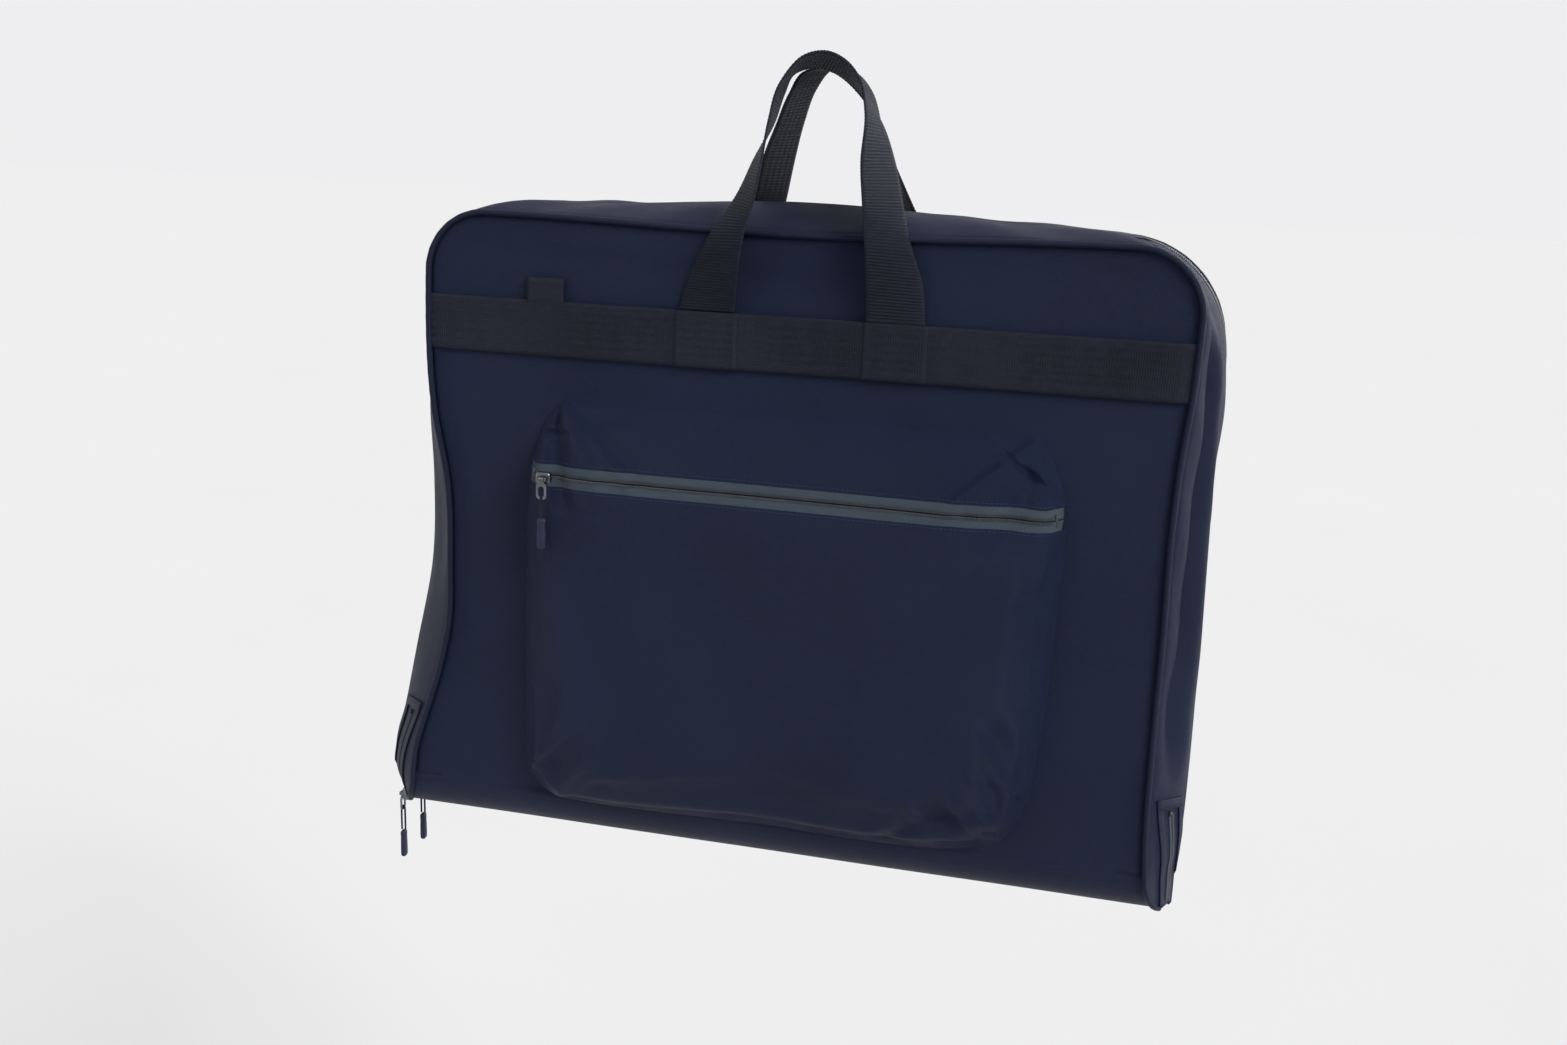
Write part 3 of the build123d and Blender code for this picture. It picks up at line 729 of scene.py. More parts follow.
def make_main_zips():
    h = rims["middle"][:, 1]
    x = rims["middle"][:, 0]
    stubs = [np.flatnonzero((h > 4) & (h < zip_garage) & (np.sign(x) == hand)) for hand in (-1, 1)]
    line = zip_depth(FRONT, h)
    tapes, coils, stops = Build(), Build(), Build()
    for rim in stubs:
        tapes.sheet(gusset_grid(FRONT, line - tape_far, line - tape_near, rim, 0.8, 7), tape_thick, flip=True)
        tapes.sheet(gusset_grid(FRONT, line + tape_near, line + tape_far, rim, 0.8, 7), tape_thick, flip=True)
        for reach in (-coil_reach, coil_reach):
            coil_row(coils, FRONT, rim, reach)
        end = rim[np.argmax(h[rim])]
        centre = on_gusset(FRONT, line, 1.3)[end]
        outward = np.array([np.sign(x[end]), 0, 0])
        stops.beads([centre], [np.array([0, 0, 1.0])], [np.array([0, 1.0, 0])], [outward], (6.5, 3.0, 2.0))
    tapes.make("front_zip_tape_cloth", "zip_tape", tape_cloth, "front_half", ["front_zip_tapes"])
    coils.make("front_zip_chain", "zip_coil", coil, "front_half", ["front_zip_coils"])
    stops.make("zip_end_bars", "zip_coil", coil, "front_half", ["zip_end_stops"])
    line = zip_depth(REAR, h)
    whole = np.flatnonzero(h > 6)
    upper = np.flatnonzero(h > lid_low)
    feet = [np.flatnonzero((h > 6) & (h < lid_low) & (np.sign(x) == hand)) for hand in (-1, 1)]
    for name, body, rims_used, sign, nodes in (
        ("tray", "rear_half", [whole], -1, ["tray_zip_tape", "tray_zip_coil"]),
        ("lid", "lid", [upper], 1, ["lid_zip_tape", "lid_zip_coil"]),
        ("fold", "rear_half", feet, 1, ["fold_zip_tape", "fold_zip_coil"]),
    ):
        tape, chain = Build(), Build()
        for rim in rims_used:
            near, far = sorted((sign * tape_near, sign * tape_far))
            tape.sheet(gusset_grid(REAR, line + near, line + far, rim, -0.25, 4), tape_thick)
            coil_row(chain, REAR, rim, sign * coil_reach)
        tape.make(f"{name}_zip_tape_cloth", "zip_tape", tape_cloth, body, nodes[:1])
        chain.make(f"{name}_zip_chain", "zip_coil", coil, body, nodes[1:])


# ---- Webbing ----
def strap_grid(grid, pitch, relief):
    """Ribs across a webbing, which runs along the grid's rows."""
    normal = np.cross(np.gradient(grid, axis=1), np.gradient(grid, axis=0))
    normal /= np.linalg.norm(normal, axis=2, keepdims=True) + 1e-9
    steps = np.linalg.norm(np.diff(grid.mean(1), axis=0), axis=1)
    place = np.concatenate([[0], np.cumsum(steps)])[:, None]
    column = np.arange(grid.shape[1])[None, :]
    rib = np.sin(2 * pi * place / pitch + 0.9 * (column % 2))
    selvedge = np.minimum(column, grid.shape[1] - 1 - column) == 0
    return grid + normal * (rib * relief * np.where(selvedge, 0.4, 1.0))[:, :, None]


def stitch_row(build, path, outward, pitch=3.8, size=(2.6, 0.8, 0.6)):
    """Dashes of thread along a path; outward is the cloth's normal."""
    points, along, _ = evenly(np.asarray(path, float), pitch)
    outward = np.broadcast_to(outward, along.shape)
    across = np.cross(outward, along)
    build.beads(points, across, along, outward, size, 0.55)


def face_line(side, start, end, off, count=60):
    """Straight line over a panel's face, at a height off it."""
    x = np.linspace(start[0], end[0], count)
    h = np.linspace(start[1], end[1], count)
    return np.stack([x, side * (face_depth(side, x, h) + off), h], 1)


handle_legs = {FRONT: ((-86, -45), (50, 91)), REAR: ((-88, -47), (47, 90))}


def make_bands():
    for side, name, body in ((FRONT, "front", "front_half"), (REAR, "rear", "lid")):
        left, right = row_ends(side, np.array([band_low, band_high]))
        columns = np.linspace(0, 1, 1300)
        h = np.linspace(band_low, band_high, 15)
        rows = []
        for share in columns:
            low_x = left[0] + 1.2 + (right[0] - left[0] - 2.4) * share
            high_x = left[1] + 1.2 + (right[1] - left[1] - 2.4) * share
            x = low_x + (high_x - low_x) * (h - band_low) / (band_high - band_low)
            raise_by = 1.5 + 0 * x
            for a, b in handle_legs[side]:
                raise_by = raise_by + 1.2 * smooth((x - a + 3) / 3) * smooth((b + 3 - x) / 3)
            end = np.minimum(x - left[1], right[1] - x)
            raise_by = np.minimum(raise_by, end * 0.22 - 0.8)
            depth = half_depth + panel_swell(side, x, h) * smooth(end / 22) + raise_by
            rows.append(np.stack([x, side * depth, h], 1))
        grid = np.array(rows)
        build = Build()
        build.sheet(strap_grid(grid, 1.7, 0.13), 1.3, flip=side == REAR)
        build.make(f"{name}_band_webbing", "webbing", ribbed, body, [f"{name}_band"])
        thin = Build()
        ends = Build()
        outward = np.array([0, side, 0.0])
        for h_row in (band_low + 2.2, band_high - 2.2):
            x0, x1 = left[0] + 12, right[0] - 12
            path = face_line(side, (x0, h_row), (x1, h_row), 1.85, 300)
            for a, b in handle_legs[side]:
                inside = smooth((path[:, 0] - a + 3) / 3) * smooth((b + 3 - path[:, 0]) / 3)
                path[:, 1] += side * 1.2 * inside
            stitch_row(thin, path, outward)
        for a, b in handle_legs[side]:
            low, high = band_low + 3.5, band_high - 3.5
            box = [(a + 3, low), (b - 3, low), (b - 3, high), (a + 3, high), (a + 3, low)]
            for start, end in list(zip(box, box[1:])) + [(box[0], box[2]), (box[1], box[3])]:
                stitch_row(thin, face_line(side, start, end, 2.95), outward)
            grid = np.array([
                [[x, side * (float(face_depth(side, x, hh)) + 1.3), hh] for x in np.linspace(a, b, 9)]
                for hh in np.linspace(band_low + 1.5, band_high - 0.4, 60)
            ])
            ends.sheet(grid, 1.2, flip=side == FRONT)
        thin.make(f"{name}_band_stitches", "webbing", thread, body)
        ends.make(f"{name}_handle_tails", "webbing", ribbed, body, [f"{name}_handle_ends"])


def make_side_tab():
    low, high = mm_box("side_tab")
    x0, x1 = low[0] - 2, high[0]
    top = high[2] - fold
    rows = []
    for h, off in (
        (band_high - 6, 0.6), (band_high, 2.4), (top - 5, 2.6), (top - 1.5, 2.5),
        (top - 0.2, 1.9), (top, 1.1), (top - 1.2, 0.3),
    ):
        x = np.linspace(x0, x1, 14)
        rows.append(np.stack([x, -(face_depth(FRONT, x, h) + off), x * 0 + h], 1))
    grid = resample(np.array(rows), 0.42)
    build = Build()
    build.sheet(strap_grid(grid, 1.5, 0.08), 0.9, flip=True)
    build.make("side_tab_webbing", "webbing", ribbed, "front_half", ["side_tab"])


def resample(grid, pitch):
    """The same strip with its rows evenly spaced, smoothly between the given ones."""
    steps = np.linalg.norm(np.diff(grid.mean(1), axis=0), axis=1)
    place = np.concatenate([[0], np.cumsum(steps)])
    wanted = np.linspace(0, place[-1], max(8, int(place[-1] / pitch)))
    columns = []
    for column in range(grid.shape[1]):
        axes = [through(*zip(place, grid[:, column, axis]))(wanted) for axis in range(3)]
        columns.append(np.stack(axes, 1))
    return np.stack(columns, 1)


# Both edges of each handle strap, from the left leg's foot over the rail to the right leg's foot.
# The first edge is the inner one at both feet; each leg turns a quarter, so that it comes out at the front
# (or, on the rear handle, at the back) on the rail.
foot = band_high + fold + 0.2
front_strap = (
    ((-45, -41.8, foot), (-86, -41.8, foot)),
    ((-39.5, -58, -140), (-76, -43.6, -140)),
    ((-35, -63, -112), (-64, -43.2, -114)),
    ((-30, -58, -90), (-50.5, -27, -88)),
    ((-27, -50, -61), (-41.6, -13, -61.5)),
    ((-25, -43, -36), (-31, -5, -38)),
    ((-19.3, -37, -11), (-25.5, 1, -17)),
    ((-5, -33.5, 7), (-19, 3.5, -3)),
    ((10, -33, 11), (-5, 4, 1.6)),
    ((24, -33, 6.5), (12, 4, -2)),
    ((36, -34, -6), (29, 3, -13)),
    ((42, -37, -28), (45, 0, -32)),
    ((42, -44, -61), (59, -9, -61)),
    ((46, -52, -90), (69, -23, -91)),
    ((48.5, -55, -114), (79, -43.2, -116)),
    ((49.5, -50, -138), (88, -43.6, -140)),
    ((50, -41.8, foot), (91, -41.8, foot)),
)
rear_strap = (
    ((-47, 41.8, foot), (-88, 41.8, foot)),
    ((-41, 53, -140), (-76, 43.6, -140)),
    ((-38, 56.5, -112), (-66, 43.2, -114)),
    ((-34, 55.5, -90), (-52, 26, -90)),
    ((-28, 52, -61), (-42, 14, -61)),
    ((-21, 46, -36), (-32, 9, -38)),
    ((-12, 43, -12), (-23, 6.5, -17)),
    ((-1, 42.5, 2), (-13, 6, -2)),
    ((9, 42.5, 4), (1, 6, 1.8)),
    ((21, 42.5, -2), (15, 6.5, -4)),
    ((31, 43.5, -14), (29, 8, -16)),
    ((38, 46.5, -36), (42, 10.5, -35)),
    ((44, 52, -61), (54, 15, -61)),
    ((47, 55.5, -92), (68, 26, -92)),
    ((48, 56.5, -114), (78, 43.2, -116)),
    ((48, 53, -138), (86, 43.6, -140)),
    ((47, 41.8, foot), (90, 41.8, foot)),
)


def make_handles():
    shares = np.linspace(0, 1, 13)
    for stations, name, side, body, base in (
        (front_strap, "front", FRONT, "front_handle", "front_half"),
        (rear_strap, "rear", REAR, "rear_handle", "lid"),
    ):
        rows = np.array([
            [np.array(inner) + (np.array(outer) - np.array(inner)) * share for share in shares]
            for inner, outer in stations
        ])
        rows[:, :, 2] -= fold
        grid = strap_grid(resample(rows, 0.42), 2.3, 0.32)
        build = Build()
        build.sheet(grid, 1.5, flip=side == FRONT)
        low = (foot - 0.5) * 0.001
        across = (base, body, (0, side * 0.0414, low), (0, side * 0.0414, low + 0.006))
        build.make(f"{name}_handle_strap", "webbing", ribbed, nodes=[f"{name}_handle"], across=across)


# ---- Pocket ----
pocket_low, pocket_high = 36.0, 357.0
pocket_left = through(
    (30, -168), (50, -196), (91, -203), (144, -205), (224, -203), (310, -197), (340, -187), (360, -174),
)
pocket_right = through(
    (30, 146), (50, 168), (68, 180), (122, 190), (231, 195), (300, 197), (325, 191), (360, 173),
)
pocket_foot = through((-200, 35), (-150, 33), (0, 38), (80, 36), (125, 39), (170, 50), (200, 60))


def pocket_relief(x, h):
    """Height of the stuffed pocket's face off the panel, before it is let swell."""
    inside = np.minimum(x - pocket_left(h), pocket_right(h) - x)
    inside = np.minimum(inside, np.minimum(pocket_high - h, h - pocket_foot(x)))
    wall = np.sqrt(smooth(inside / 7))
    slope = smooth((pocket_high - h) / (pocket_high - pocket_zip + 6))
    face = 10.0 + 11.5 * slope
    sag = np.sin(pi * np.clip((h - pocket_low) / (pocket_zip - pocket_low), 0, 1))
    return wall * (face + 1.6 * sag) - 1.5 * (inside <= 0)


creases = (  # start, end, width and depth of each fold in the pocket's cloth
    ((-176, 358), (-176, 331), 2.2, 2.0),
    ((-192, 329), (-168, 331), 2.2, 1.8),
    ((-112, 356), (-150, 338), 6.0, 1.0),
    ((132, 360), (157, 338), 3.2, 2.0),
    ((157, 338), (191, 311), 3.6, 2.8),
    ((167, 334), (191, 317), 2.6, 1.6),
    ((179, 357), (150, 350), 2.4, 1.8),
    ((74, 40), (105, 58), 5.0, 2.4),
    ((105, 58), (155, 80), 6.0, 2.0),
    ((157, 61), (168, 62), 5.5, 4.5),
    ((154, 118), (165, 82), 5.0, 2.4),
    ((-200, 48), (-172, 74), 7.0, 2.0),
    ((-186, 260), (-108, 96), 24.0, 1.3),
    ((192, 281), (-24, 55), 30.0, 1.9),
    ((190, 274), (70, 156), 13.0, 1.3),
    ((60, 44), (110, 130), 16.0, 1.2),
)


def segment_distance(x, h, start, end):
    """Distance from a straight fold line, and the share of the way along it."""
    a, b = np.array(start, float), np.array(end, float)
    d = b - a
    t = np.clip(((x - a[0]) * d[0] + (h - a[1]) * d[1]) / d.dot(d), 0, 1)
    return np.hypot(x - a[0] - d[0] * t, h - a[1] - d[1] * t), t


def pocket_block():
    """Points and faces of the stuffed pocket's closed block: a relief grid with a flat back."""
    x = np.linspace(-208, 200, 137)
    h = np.linspace(pocket_low - 4, pocket_high, 108)
    grid_x, grid_h = np.meshgrid(x, h)
    relief = pocket_relief(grid_x, grid_h)
    face = np.stack([grid_x, -(half_depth + relief), grid_h], 2)
    back = face.copy()
    back[:, :, 1] = -(half_depth - 3.0)
    points = np.concatenate([face.reshape(-1, 3), back.reshape(-1, 3)])
    return points, slab_faces(*grid_x.shape).tolist()


def swell_pocket():
    """The pocket's cloth let swell as cloth does: its seam stays on the panel, its face moves a little."""
    points, faces = pocket_block()
    points = (points + np.array([0, 0, fold])) * 0.001
    mesh = bpy.data.meshes.new("pocket_block")
    mesh.from_pydata(points.tolist(), [], faces)
    block = bpy.data.objects.new("pocket_block", mesh)
    bpy.context.collection.objects.link(block)
    remesh = block.modifiers.new("remesh", "REMESH")
    remesh.mode = "VOXEL"
    remesh.voxel_size = 0.004
    bake(block)
    start = positions(block)
    held = block.vertex_groups.new(name="held")
    seam = -(half_depth + 2.5) * 0.001
    held.add([i for i, p in enumerate(start) if p[1] > seam], 1.0, "REPLACE")
    cloth_modifier = block.modifiers.new("cloth", "CLOTH")
    settings = cloth_modifier.settings
    settings.vertex_group_mass = "held"
    settings.quality = 6
    settings.mass = 0.25
    settings.tension_stiffness = 18
    settings.compression_stiffness = 18
    settings.bending_stiffness = 0.6
    settings.use_pressure = True
    settings.uniform_pressure_force = 4.0
    settings.effector_weights.gravity = 0
    cloth_modifier.collision_settings.use_collision = False
    scene = bpy.context.scene
    last_frame = 20
    scene.frame_start, scene.frame_end = 1, last_frame
    cloth_modifier.point_cache.frame_start = 1
    cloth_modifier.point_cache.frame_end = last_frame
    for step in range(1, last_frame + 1):
        scene.frame_set(step)
    bake(block)
    moved = positions(block) - start
    length = np.linalg.norm(moved, axis=1, keepdims=True)
    limit = 0.007  # metres, the furthest that any point may move
    place(block, start + moved * np.minimum(1, limit / np.maximum(length, 1e-9)))
    scene.frame_set(1)
    return block


def positions(piece):
    flat = np.empty(len(piece.data.vertices) * 3)
    piece.data.vertices.foreach_get("co", flat)
    return flat.reshape(-1, 3)


def place(piece, points):
    piece.data.vertices.foreach_set("co", points.ravel())
    piece.data.update()


def bake(piece):
    """Apply every modifier of a piece to its mesh."""
    graph = bpy.context.evaluated_depsgraph_get()
    mesh = bpy.data.meshes.new_from_object(piece.evaluated_get(graph))
    piece.modifiers.clear()
    piece.data = mesh


def crease_pocket(block):
    """Fold lines pressed into the swollen cloth after one subdivision."""
    smoothing = block.modifiers.new("smooth", "SMOOTH")
    smoothing.factor, smoothing.iterations = 0.5, 2
    finer = block.modifiers.new("finer", "SUBSURF")
    finer.levels = finer.render_levels = 2
    bake(block)
    points = positions(block) * 1000
    x, h = points[:, 0], points[:, 2] - fold
    out = np.clip((-points[:, 1] - half_depth) / 8, 0, 1)
    push = np.zeros(len(points))
    for start, end, width, depth in creases:
        distance, share = segment_distance(x, h, start, end)
        fade = np.sin(pi * np.clip(share * 0.9 + 0.05, 0, 1)) ** 0.5
        ridge = np.exp(-(((distance - 1.9 * width) / (1.1 * width)) ** 2))
        push += depth * fade * (np.exp(-((distance / width) ** 2)) - 0.35 * ridge)
    groove = 0.5 * np.exp(-(((h - pocket_zip) / 9.0) ** 2))
    push += groove - 0.5 * waves(x, h, 55, 3.1)
    points[:, 1] += push * out
    place(block, points * 0.001)


def cut_pocket(block, low, high, name, node):
    """The stretch of the pocket's cloth between two heights, as a shell open at the back."""
    mesh = bmesh.new()
    mesh.from_mesh(block.data)
    for height, keep_above in ((low, True), (high, False)):
        if height is None:
            continue
        geometry = mesh.verts[:] + mesh.edges[:] + mesh.faces[:]
        bmesh.ops.bisect_plane(
            mesh, geom=geometry, plane_co=(0, 0, (height + fold) * 0.001), plane_no=(0, 0, 1),
            clear_inner=keep_above, clear_outer=not keep_above,
        )
    back = -(half_depth - 2.0) * 0.001
    geometry = mesh.verts[:] + mesh.edges[:] + mesh.faces[:]
    bmesh.ops.bisect_plane(mesh, geom=geometry, plane_co=(0, back, 0), plane_no=(0, 1, 0), clear_outer=True)
    data = bpy.data.meshes.new(name)
    mesh.to_mesh(data)
    mesh.free()
    piece = bpy.data.objects.new(name, data)
    bpy.context.collection.objects.link(piece)
    points = positions(piece)
    layer = data.uv_layers.new(name="cloth")
    corner = np.empty(len(data.loops), np.int32)
    data.loops.foreach_get("vertex_index", corner)
    uv = points[:, [0, 2]] + points[:, 1:2]
    layer.data.foreach_set("uv", uv[corner].astype(np.float32).ravel())
    data.polygons.foreach_set("use_smooth", np.ones(len(data.polygons), bool))
    thick = piece.modifiers.new("thick", "SOLIDIFY")
    thick.thickness = 0.0012
    thick.offset = -1
    bake(piece)
    return dress(piece, shell, "front_half", [node])


def make_pocket():
    block = swell_pocket()
    crease_pocket(block)
    tree = BVHTree.FromPolygons(
        [v.co for v in block.data.vertices], [p.vertices[:] for p in block.data.polygons]
    )

    def face(x, h, off):
        """Point on the pocket's face at a place, stood off by a distance."""
        start = Vector((x * 0.001, -0.2, (h + fold) * 0.001))
        spot, normal, _, _ = tree.ray_cast(start, Vector((0, 1, 0)))
        if spot is None:
            return None
        point = np.array(spot) * 1000 - np.array([0, 0, fold])
        return point + np.array(normal) * off

    gap = 7.6
    cut_pocket(block, None, pocket_zip - gap, "pocket_lower_cloth", "pocket_lower")
    cut_pocket(block, pocket_zip + gap, None, "pocket_upper_cloth", "pocket_upper")

    spots = np.linspace(pocket_left(pocket_zip) + 1.5, pocket_right(pocket_zip) - 1.5, 170)
    for name, low, high in (("lower", -9.4, -tape_near), ("upper", tape_near, 9.4)):
        rows = []
        for x in spots:
            row = [face(x, pocket_zip + d, 0.1 - 0.1 * abs(d)) for d in np.linspace(low, high, 5)]
            if any(point is None for point in row):
                continue
            rows.append(row)
        build = Build()
        build.sheet(np.array(rows), 0.6)
        build.make(f"pocket_{name}_tape_cloth", "zip_tape", tape_cloth, "front_half", [f"pocket_tape_{name}"])

    chain = Build()
    end = -mm_box("pocket_zip_stops")[0][0] - 3
    outward = np.array([0, -1.0, 0])
    for reach_h in (-1.5, 1.5):
        line = np.array([face(x, pocket_zip + reach_h, 0.35) for x in np.linspace(-end, end, 200)])
        points, along, _ = evenly(line, 1.55)
        lean = np.array([0, 0, 1.0]) + along * 0.3 * np.sign(reach_h)
        chain.beads(points, along, lean, np.broadcast_to(outward, along.shape), (2.7, 1.05, 1.3))
    chain.make("pocket_zip_chain", "zip_coil", coil, "front_half", ["pocket_zip_coils"])
    stops = Build()
    for x in (-end - 1.5, end + 1.5):
        centre = face(x, pocket_zip, 0.6)
        stops.beads([centre], [np.array([1.0, 0, 0])], [np.array([0, 0, 1.0])], [outward], (7.5, 2.6, 1.8))
    stops.make("pocket_zip_bars", "zip_coil", coil, "front_half", ["pocket_zip_stops"])

    seams = Build()
    for offset in (-gap - 2.0, gap + 2.0):
        line = [face(x, pocket_zip + offset, 0.15) for x in spots[4:-4]]
        stitch_row(seams, np.array([p for p in line if p is not None]), outward, 3.4, (2.4, 0.7, 0.5))
    seams.make("pocket_stitches", "shell", navy_thread, "front_half")
    bpy.data.objects.remove(block)


# ---- Sliders and pulls ----
def polish(node, material):
    """Give a carried-over CAD node its material."""
    piece = frame["nodes"][node]
    if not piece.material_slots:
        piece.data.materials.append(material)
    for place_for_material in piece.material_slots:
        place_for_material.material = material


def make_pulls():
    for name in ("pocket", "front", "rear"):
        polish(f"{name}_slider", metal)
        polish(f"{name}_puller", metal)
        make_tab(name)
        make_cord(name)


def pull_axes(name):
    """Middle of a pull's tab, its hinge's axis, the way it faces, and its cord's lowest and highest z."""
    low, high = mm_box(f"{name}_pull_cord")
    tab_low, tab_high = mm_box(f"{name}_pull_tab")
    centre = (tab_low + tab_high) / 2
    axis = joint_axis(f"{name}_pull_swing")
    outward = np.cross(axis, np.array([0, 0, 1.0]))
    return centre, axis, outward, low[2], high[2]


def joint_axis(name):
    for joint in frame["record"]["behaviour"]["joints"]:
        if joint["name"] == name:
            axis = np.array(joint["axis"], float)
            return axis / np.linalg.norm(axis)


def make_tab(name):
    """Moulded tab: rounded, a little waisted, with three grip ridges on each face."""
    centre, axis, outward, _, _ = pull_axes(name)
    low, high = mm_box(f"{name}_pull_tab")
    length = high[2] - low[2]
    rows = []
    stations = np.concatenate([[0, 0.012, 0.035, 0.07], np.linspace(0.1, 0.9, 41), [0.93, 0.965, 0.988, 1.0]])
    sides = 20
    angles = np.arange(sides) * 2 * pi / sides
    for t in stations:
        ends = np.sqrt(max(0.0, 1 - (max(0.0, abs(t - 0.5) - 0.40) / 0.10) ** 2.2))
        waist = 1 - 0.14 * np.exp(-(((t - 0.72) / 0.13) ** 2))
        ridge = 0.16 * sum(np.exp(-(((t - c) / 0.018) ** 2)) for c in (0.2, 0.28, 0.36))
        wide = 3.5 * waist * (0.35 + 0.65 * ends) * max(ends, 0.05)
        thick = (2.15 + ridge) * (0.35 + 0.65 * ends) * max(ends, 0.05)
        side = np.sign(np.cos(angles)) * np.abs(np.cos(angles)) ** 0.7 * wide
        front = np.sign(np.sin(angles)) * np.abs(np.sin(angles)) ** 0.7 * thick
        level = np.array([centre[0], centre[1], low[2] + length * t - fold])
        rows.append(level + side[:, None] * axis + front[:, None] * outward)
    build = Build()
    count = len(stations) * sides
    build.add(np.array(rows), np.zeros((count, 2)), tube_faces(len(stations), sides))
    build.make(f"{name}_tab", "tab", rubber, f"{name}_pull", [f"{name}_pull_tab"])


cord_width = 0.0016


def make_cord(name):
    """Cord from the tab up through the puller's end and back down into the tab."""
    centre, _, outward, low, high = pull_axes(name)
    reach = 1.6  # the loop's legs stand this far from its middle
    crest = high - 0.8
    heights = (
        (-reach, low), (-reach, low + 4.5), (-reach, low + 9.0), (-reach, crest - 1.9),
        (-reach * 0.62, crest + 0.15), (reach * 0.62, crest + 0.15),
        (reach, crest - 1.9), (reach, low + 9.0), (reach, low + 4.5), (reach, low),
    )
    curve = bpy.data.curves.new(f"{name}_loop", "CURVE")
    curve.dimensions = "3D"
    curve.bevel_depth = cord_width / 2
    curve.bevel_resolution = 3
    curve.resolution_u = 8
    spline = curve.splines.new("NURBS")
    spline.points.add(len(heights) - 1)
    points = []
    for offset, z in heights:
        spot = (np.array([centre[0], centre[1], z]) + outward * offset) * 0.001
        spot[2] = z * 0.001  # level with its partner, whatever the hinge's tilt
        points.append(spot)
    for point, spot in zip(spline.points, points):
        point.co = (*spot, 1)
    spline.order_u = 3
    spline.use_endpoint_u = True
    loop = bpy.data.objects.new(f"{name}_cord", curve)
    bpy.context.collection.objects.link(loop)
    curve.materials.append(braid)
    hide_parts(f"{name}_pull_cord")
    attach(loop, f"{name}_pull")
    tuple(points[0])


# ---- Inside ----
def make_linings():
    foot_height = 34.0
    for side, name in ((FRONT, "front"), (REAR, "rear")):
        rows = []
        for h in panel_heights("middle", foot_height):
            left, right = row_ends("middle", np.array([h]))
            x = row_places(left[0] + 2.6, right[0] - 2.6, 90)
            uneven = 0.35 * (1 + waves(x, h, 38, 1.2 + side)) * smooth((right[0] - np.abs(x)) / 40)
            height = h - 2.2 * smooth((h - 400) / 90) + crown("middle", x, h)
            rows.append(np.stack([x, side * (half_gap + 0.25 + uneven), height], 1))
        build = Build()
        build.sheet(np.array(rows), 0.9, flip=side == FRONT)
        build.make(f"{name}_lining_cloth", "lining", lining_cloth, f"{name}_half", [f"{name}_lining"])


def make_elastics():
    for name in ("upper", "lower"):
        low, high = mm_box(f"{name}_elastic_band")
        h0, h1 = low[2] - fold, high[2] - fold
        x = np.linspace(low[0] + 0.5, high[0] - 0.5, 420)
        rows = []
        for place_x in x:
            share = (place_x - low[0]) / (high[0] - low[0])
            h = np.linspace(h0, h1, 13) - 2.5 * sin(pi * share)
            depth = (low[1] + high[1]) / 2 + 0.8 * sin(pi * share) + 0.12 * np.sin(np.arange(13) * 1.6)
            rows.append(np.stack([h * 0 + place_x, depth, h], 1))
        build = Build()
        build.sheet(strap_grid(np.array(rows), 2.6, 0.1), 0.9)
        build.make(f"{name}_elastic_webbing", "elastic", elastic_cloth, "rear_half", [f"{name}_elastic_band"])


def make_mesh_pocket():
    low, high = mm_box("mesh_pocket")
    depth = high[1] - 0.3
    net = Build()
    pitch = 5.0
    h0, h1 = low[2] - fold, high[2] - fold
    columns = int((high[0] - low[0]) / pitch)
    rows = int((h1 - h0) / pitch)
    for i in range(columns + 1):
        x = low[0] + (high[0] - low[0]) * i / columns
        h = np.linspace(h0, h1, 2 * rows + 1)
        sway = 0.9 * np.where(np.arange(2 * rows + 1) % 2, 1, -1) * (1 if i % 2 else -1)
        net.tube(np.stack([x + sway, depth + 0 * h, h], 1), 0.42, 5)
    for j in range(rows + 1):
        h = h0 + (h1 - h0) * j / rows
        x = np.linspace(low[0], high[0], columns + 1)
        net.tube(np.stack([x, depth + 0 * x - 0.15, h + 0 * x], 1), 0.4, 5)
    net.make("mesh_pocket_net", "mesh", net_cloth, "lid", ["mesh_pocket"])
    low, high = mm_box("mesh_binding")
    x = np.linspace(low[0], high[0], 160)
    rows = []
    for place_x in x:
        h = np.linspace(low[2] - fold, high[2] - fold, 7)
        roll = 0.35 * np.sin(np.linspace(0, pi, 7))
        rows.append(np.stack([h * 0 + place_x, low[1] + 0.4 - roll * 0.8, h], 1))
    build = Build()
    build.sheet(np.array(rows), 1.1)
    build.make("mesh_pocket_binding", "mesh", elastic_cloth, "lid", ["mesh_binding"])


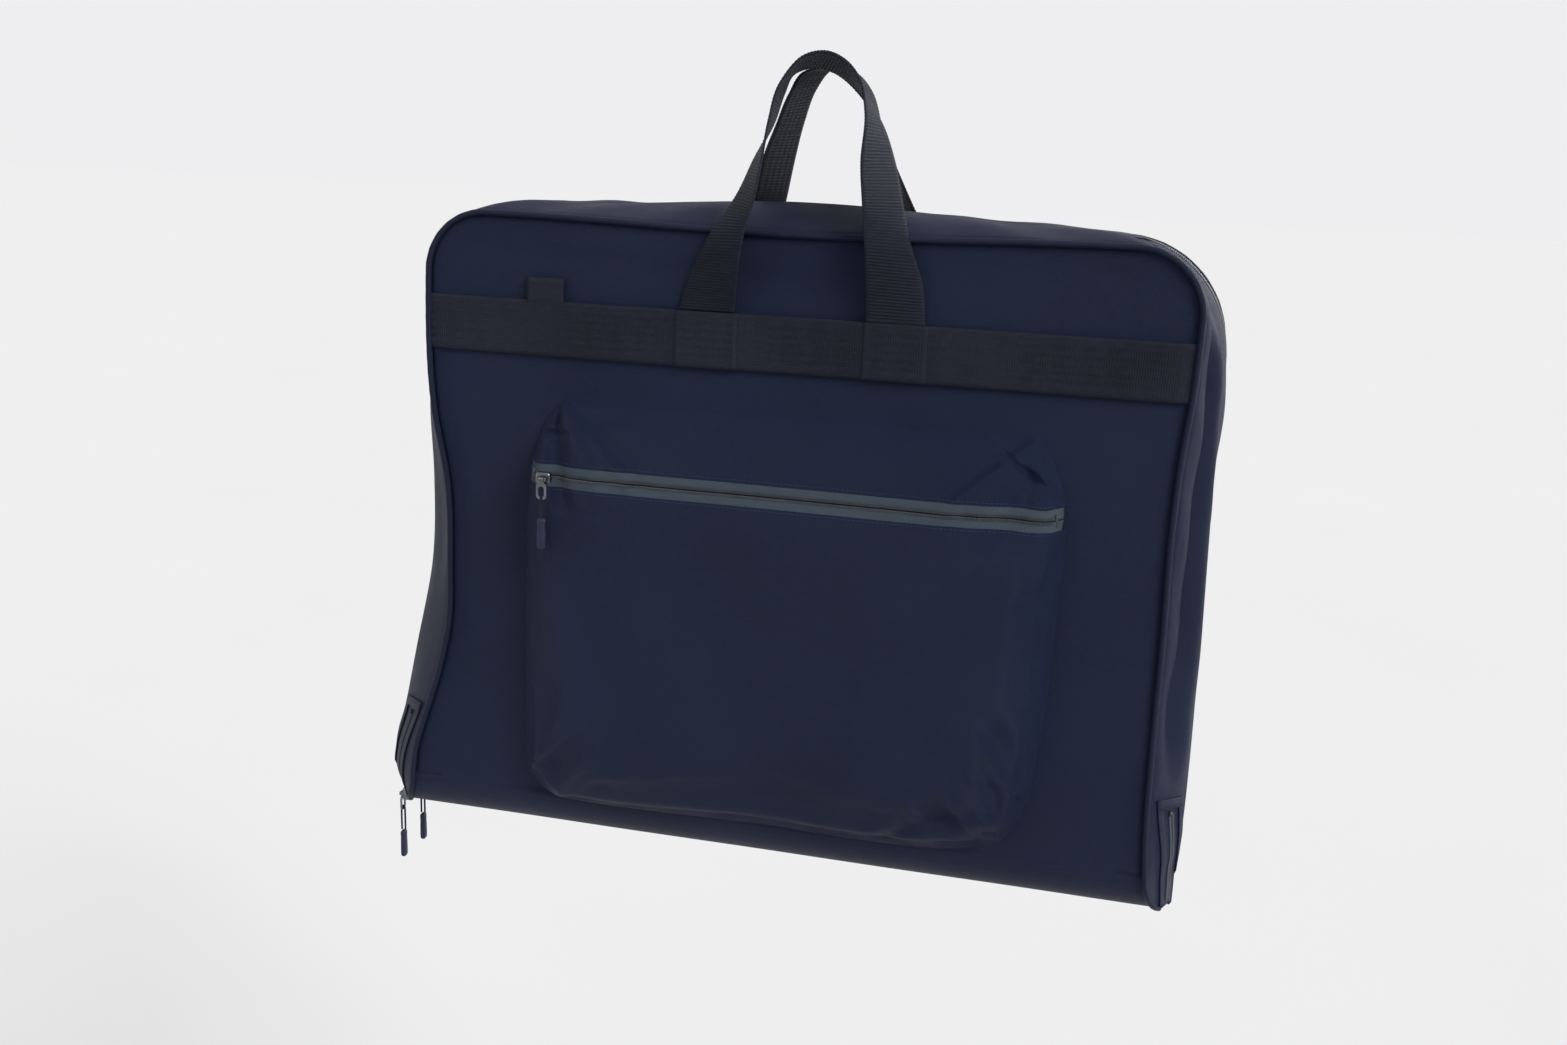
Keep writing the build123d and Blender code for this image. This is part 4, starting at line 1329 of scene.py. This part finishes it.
# ---- Setting ----
camera_place = Vector((241.7, -1080.5, -40.7)) * 0.001
camera_right = Vector((0.97034, 0.23881, 0.03752))
camera_up = Vector((-0.09530, 0.23530, 0.96724))
floor_drop = 0.9  # metres from the foot of the bag down to the floor
sky = 0.87  # strength of the even light from all round
lamps = (  # name, direction that the light comes from, and strength
    ("key", (1.0, -0.55, 0.75), 3.6),
    ("fill", (-0.7, -0.8, 0.5), 0.5),
    ("rear", (0.8, 1.0, 0.45), 1.3),
)


def make_setting():
    camera = bpy.data.objects.new("camera", bpy.data.cameras.new("camera"))
    camera.data.sensor_width = 36
    camera.data.lens = 34.94
    back = camera_right.cross(camera_up)
    turn = Matrix((camera_right, camera_up, back)).transposed()
    camera.matrix_world = Matrix.Translation(camera_place) @ turn.to_4x4()
    bpy.context.collection.objects.link(camera)
    bpy.context.scene.camera = camera

    world = bpy.data.worlds.new("soft")
    world.use_nodes = True
    world.node_tree.nodes["Background"].inputs[0].default_value = (0.985, 0.985, 1.0, 1)
    world.node_tree.nodes["Background"].inputs[1].default_value = sky
    bpy.context.scene.world = world
    for name, source, power in lamps:
        light = bpy.data.objects.new(name, bpy.data.lights.new(name, "SUN"))
        light.data.energy = power
        light.data.angle = radians(26)
        light.rotation_euler = (-Vector(source)).to_track_quat("-Z", "Y").to_euler()
        bpy.context.collection.objects.link(light)

    level = min(cad_box[0][2], fold * 0.001) - floor_drop
    mesh = bpy.data.meshes.new("floor")
    reach = 30.0
    corner_signs = ((-1, -1), (1, -1), (1, 1), (-1, 1))
    mesh.from_pydata([(reach * a, reach * b, level) for a, b in corner_signs], [], [(0, 1, 2, 3)])
    floor = bpy.data.objects.new("floor", mesh)
    bpy.context.collection.objects.link(floor)
    pale = Nodes("floor", 0.9, specular=0.0)
    normal = pale.bump(pale.noise(40.0), 0.0005, 0.2)
    lamp_share = sum(power * Vector(source).normalized().z / pi for _, source, power in lamps)
    tone = sky / (sky + lamp_share)
    colour = pale.colour(pale.noise(1.5), (tone * 0.995,) * 3, (tone * 1.005,) * 3)
    mesh.materials.append(pale.finish(colour, pale.spread(pale.noise(3.0), 0.85, 0.95), normal))
    bpy.context.scene.view_settings.view_transform = "Standard"


make_setting()
make_shell()
make_gussets()
make_piping()
make_main_zips()
make_bands()
make_side_tab()
make_handles()
make_pocket()
make_pulls()
make_linings()
make_elastics()
make_mesh_pocket()
polish("hanger_tab", ribbed)
polish("hanger_ring", metal)
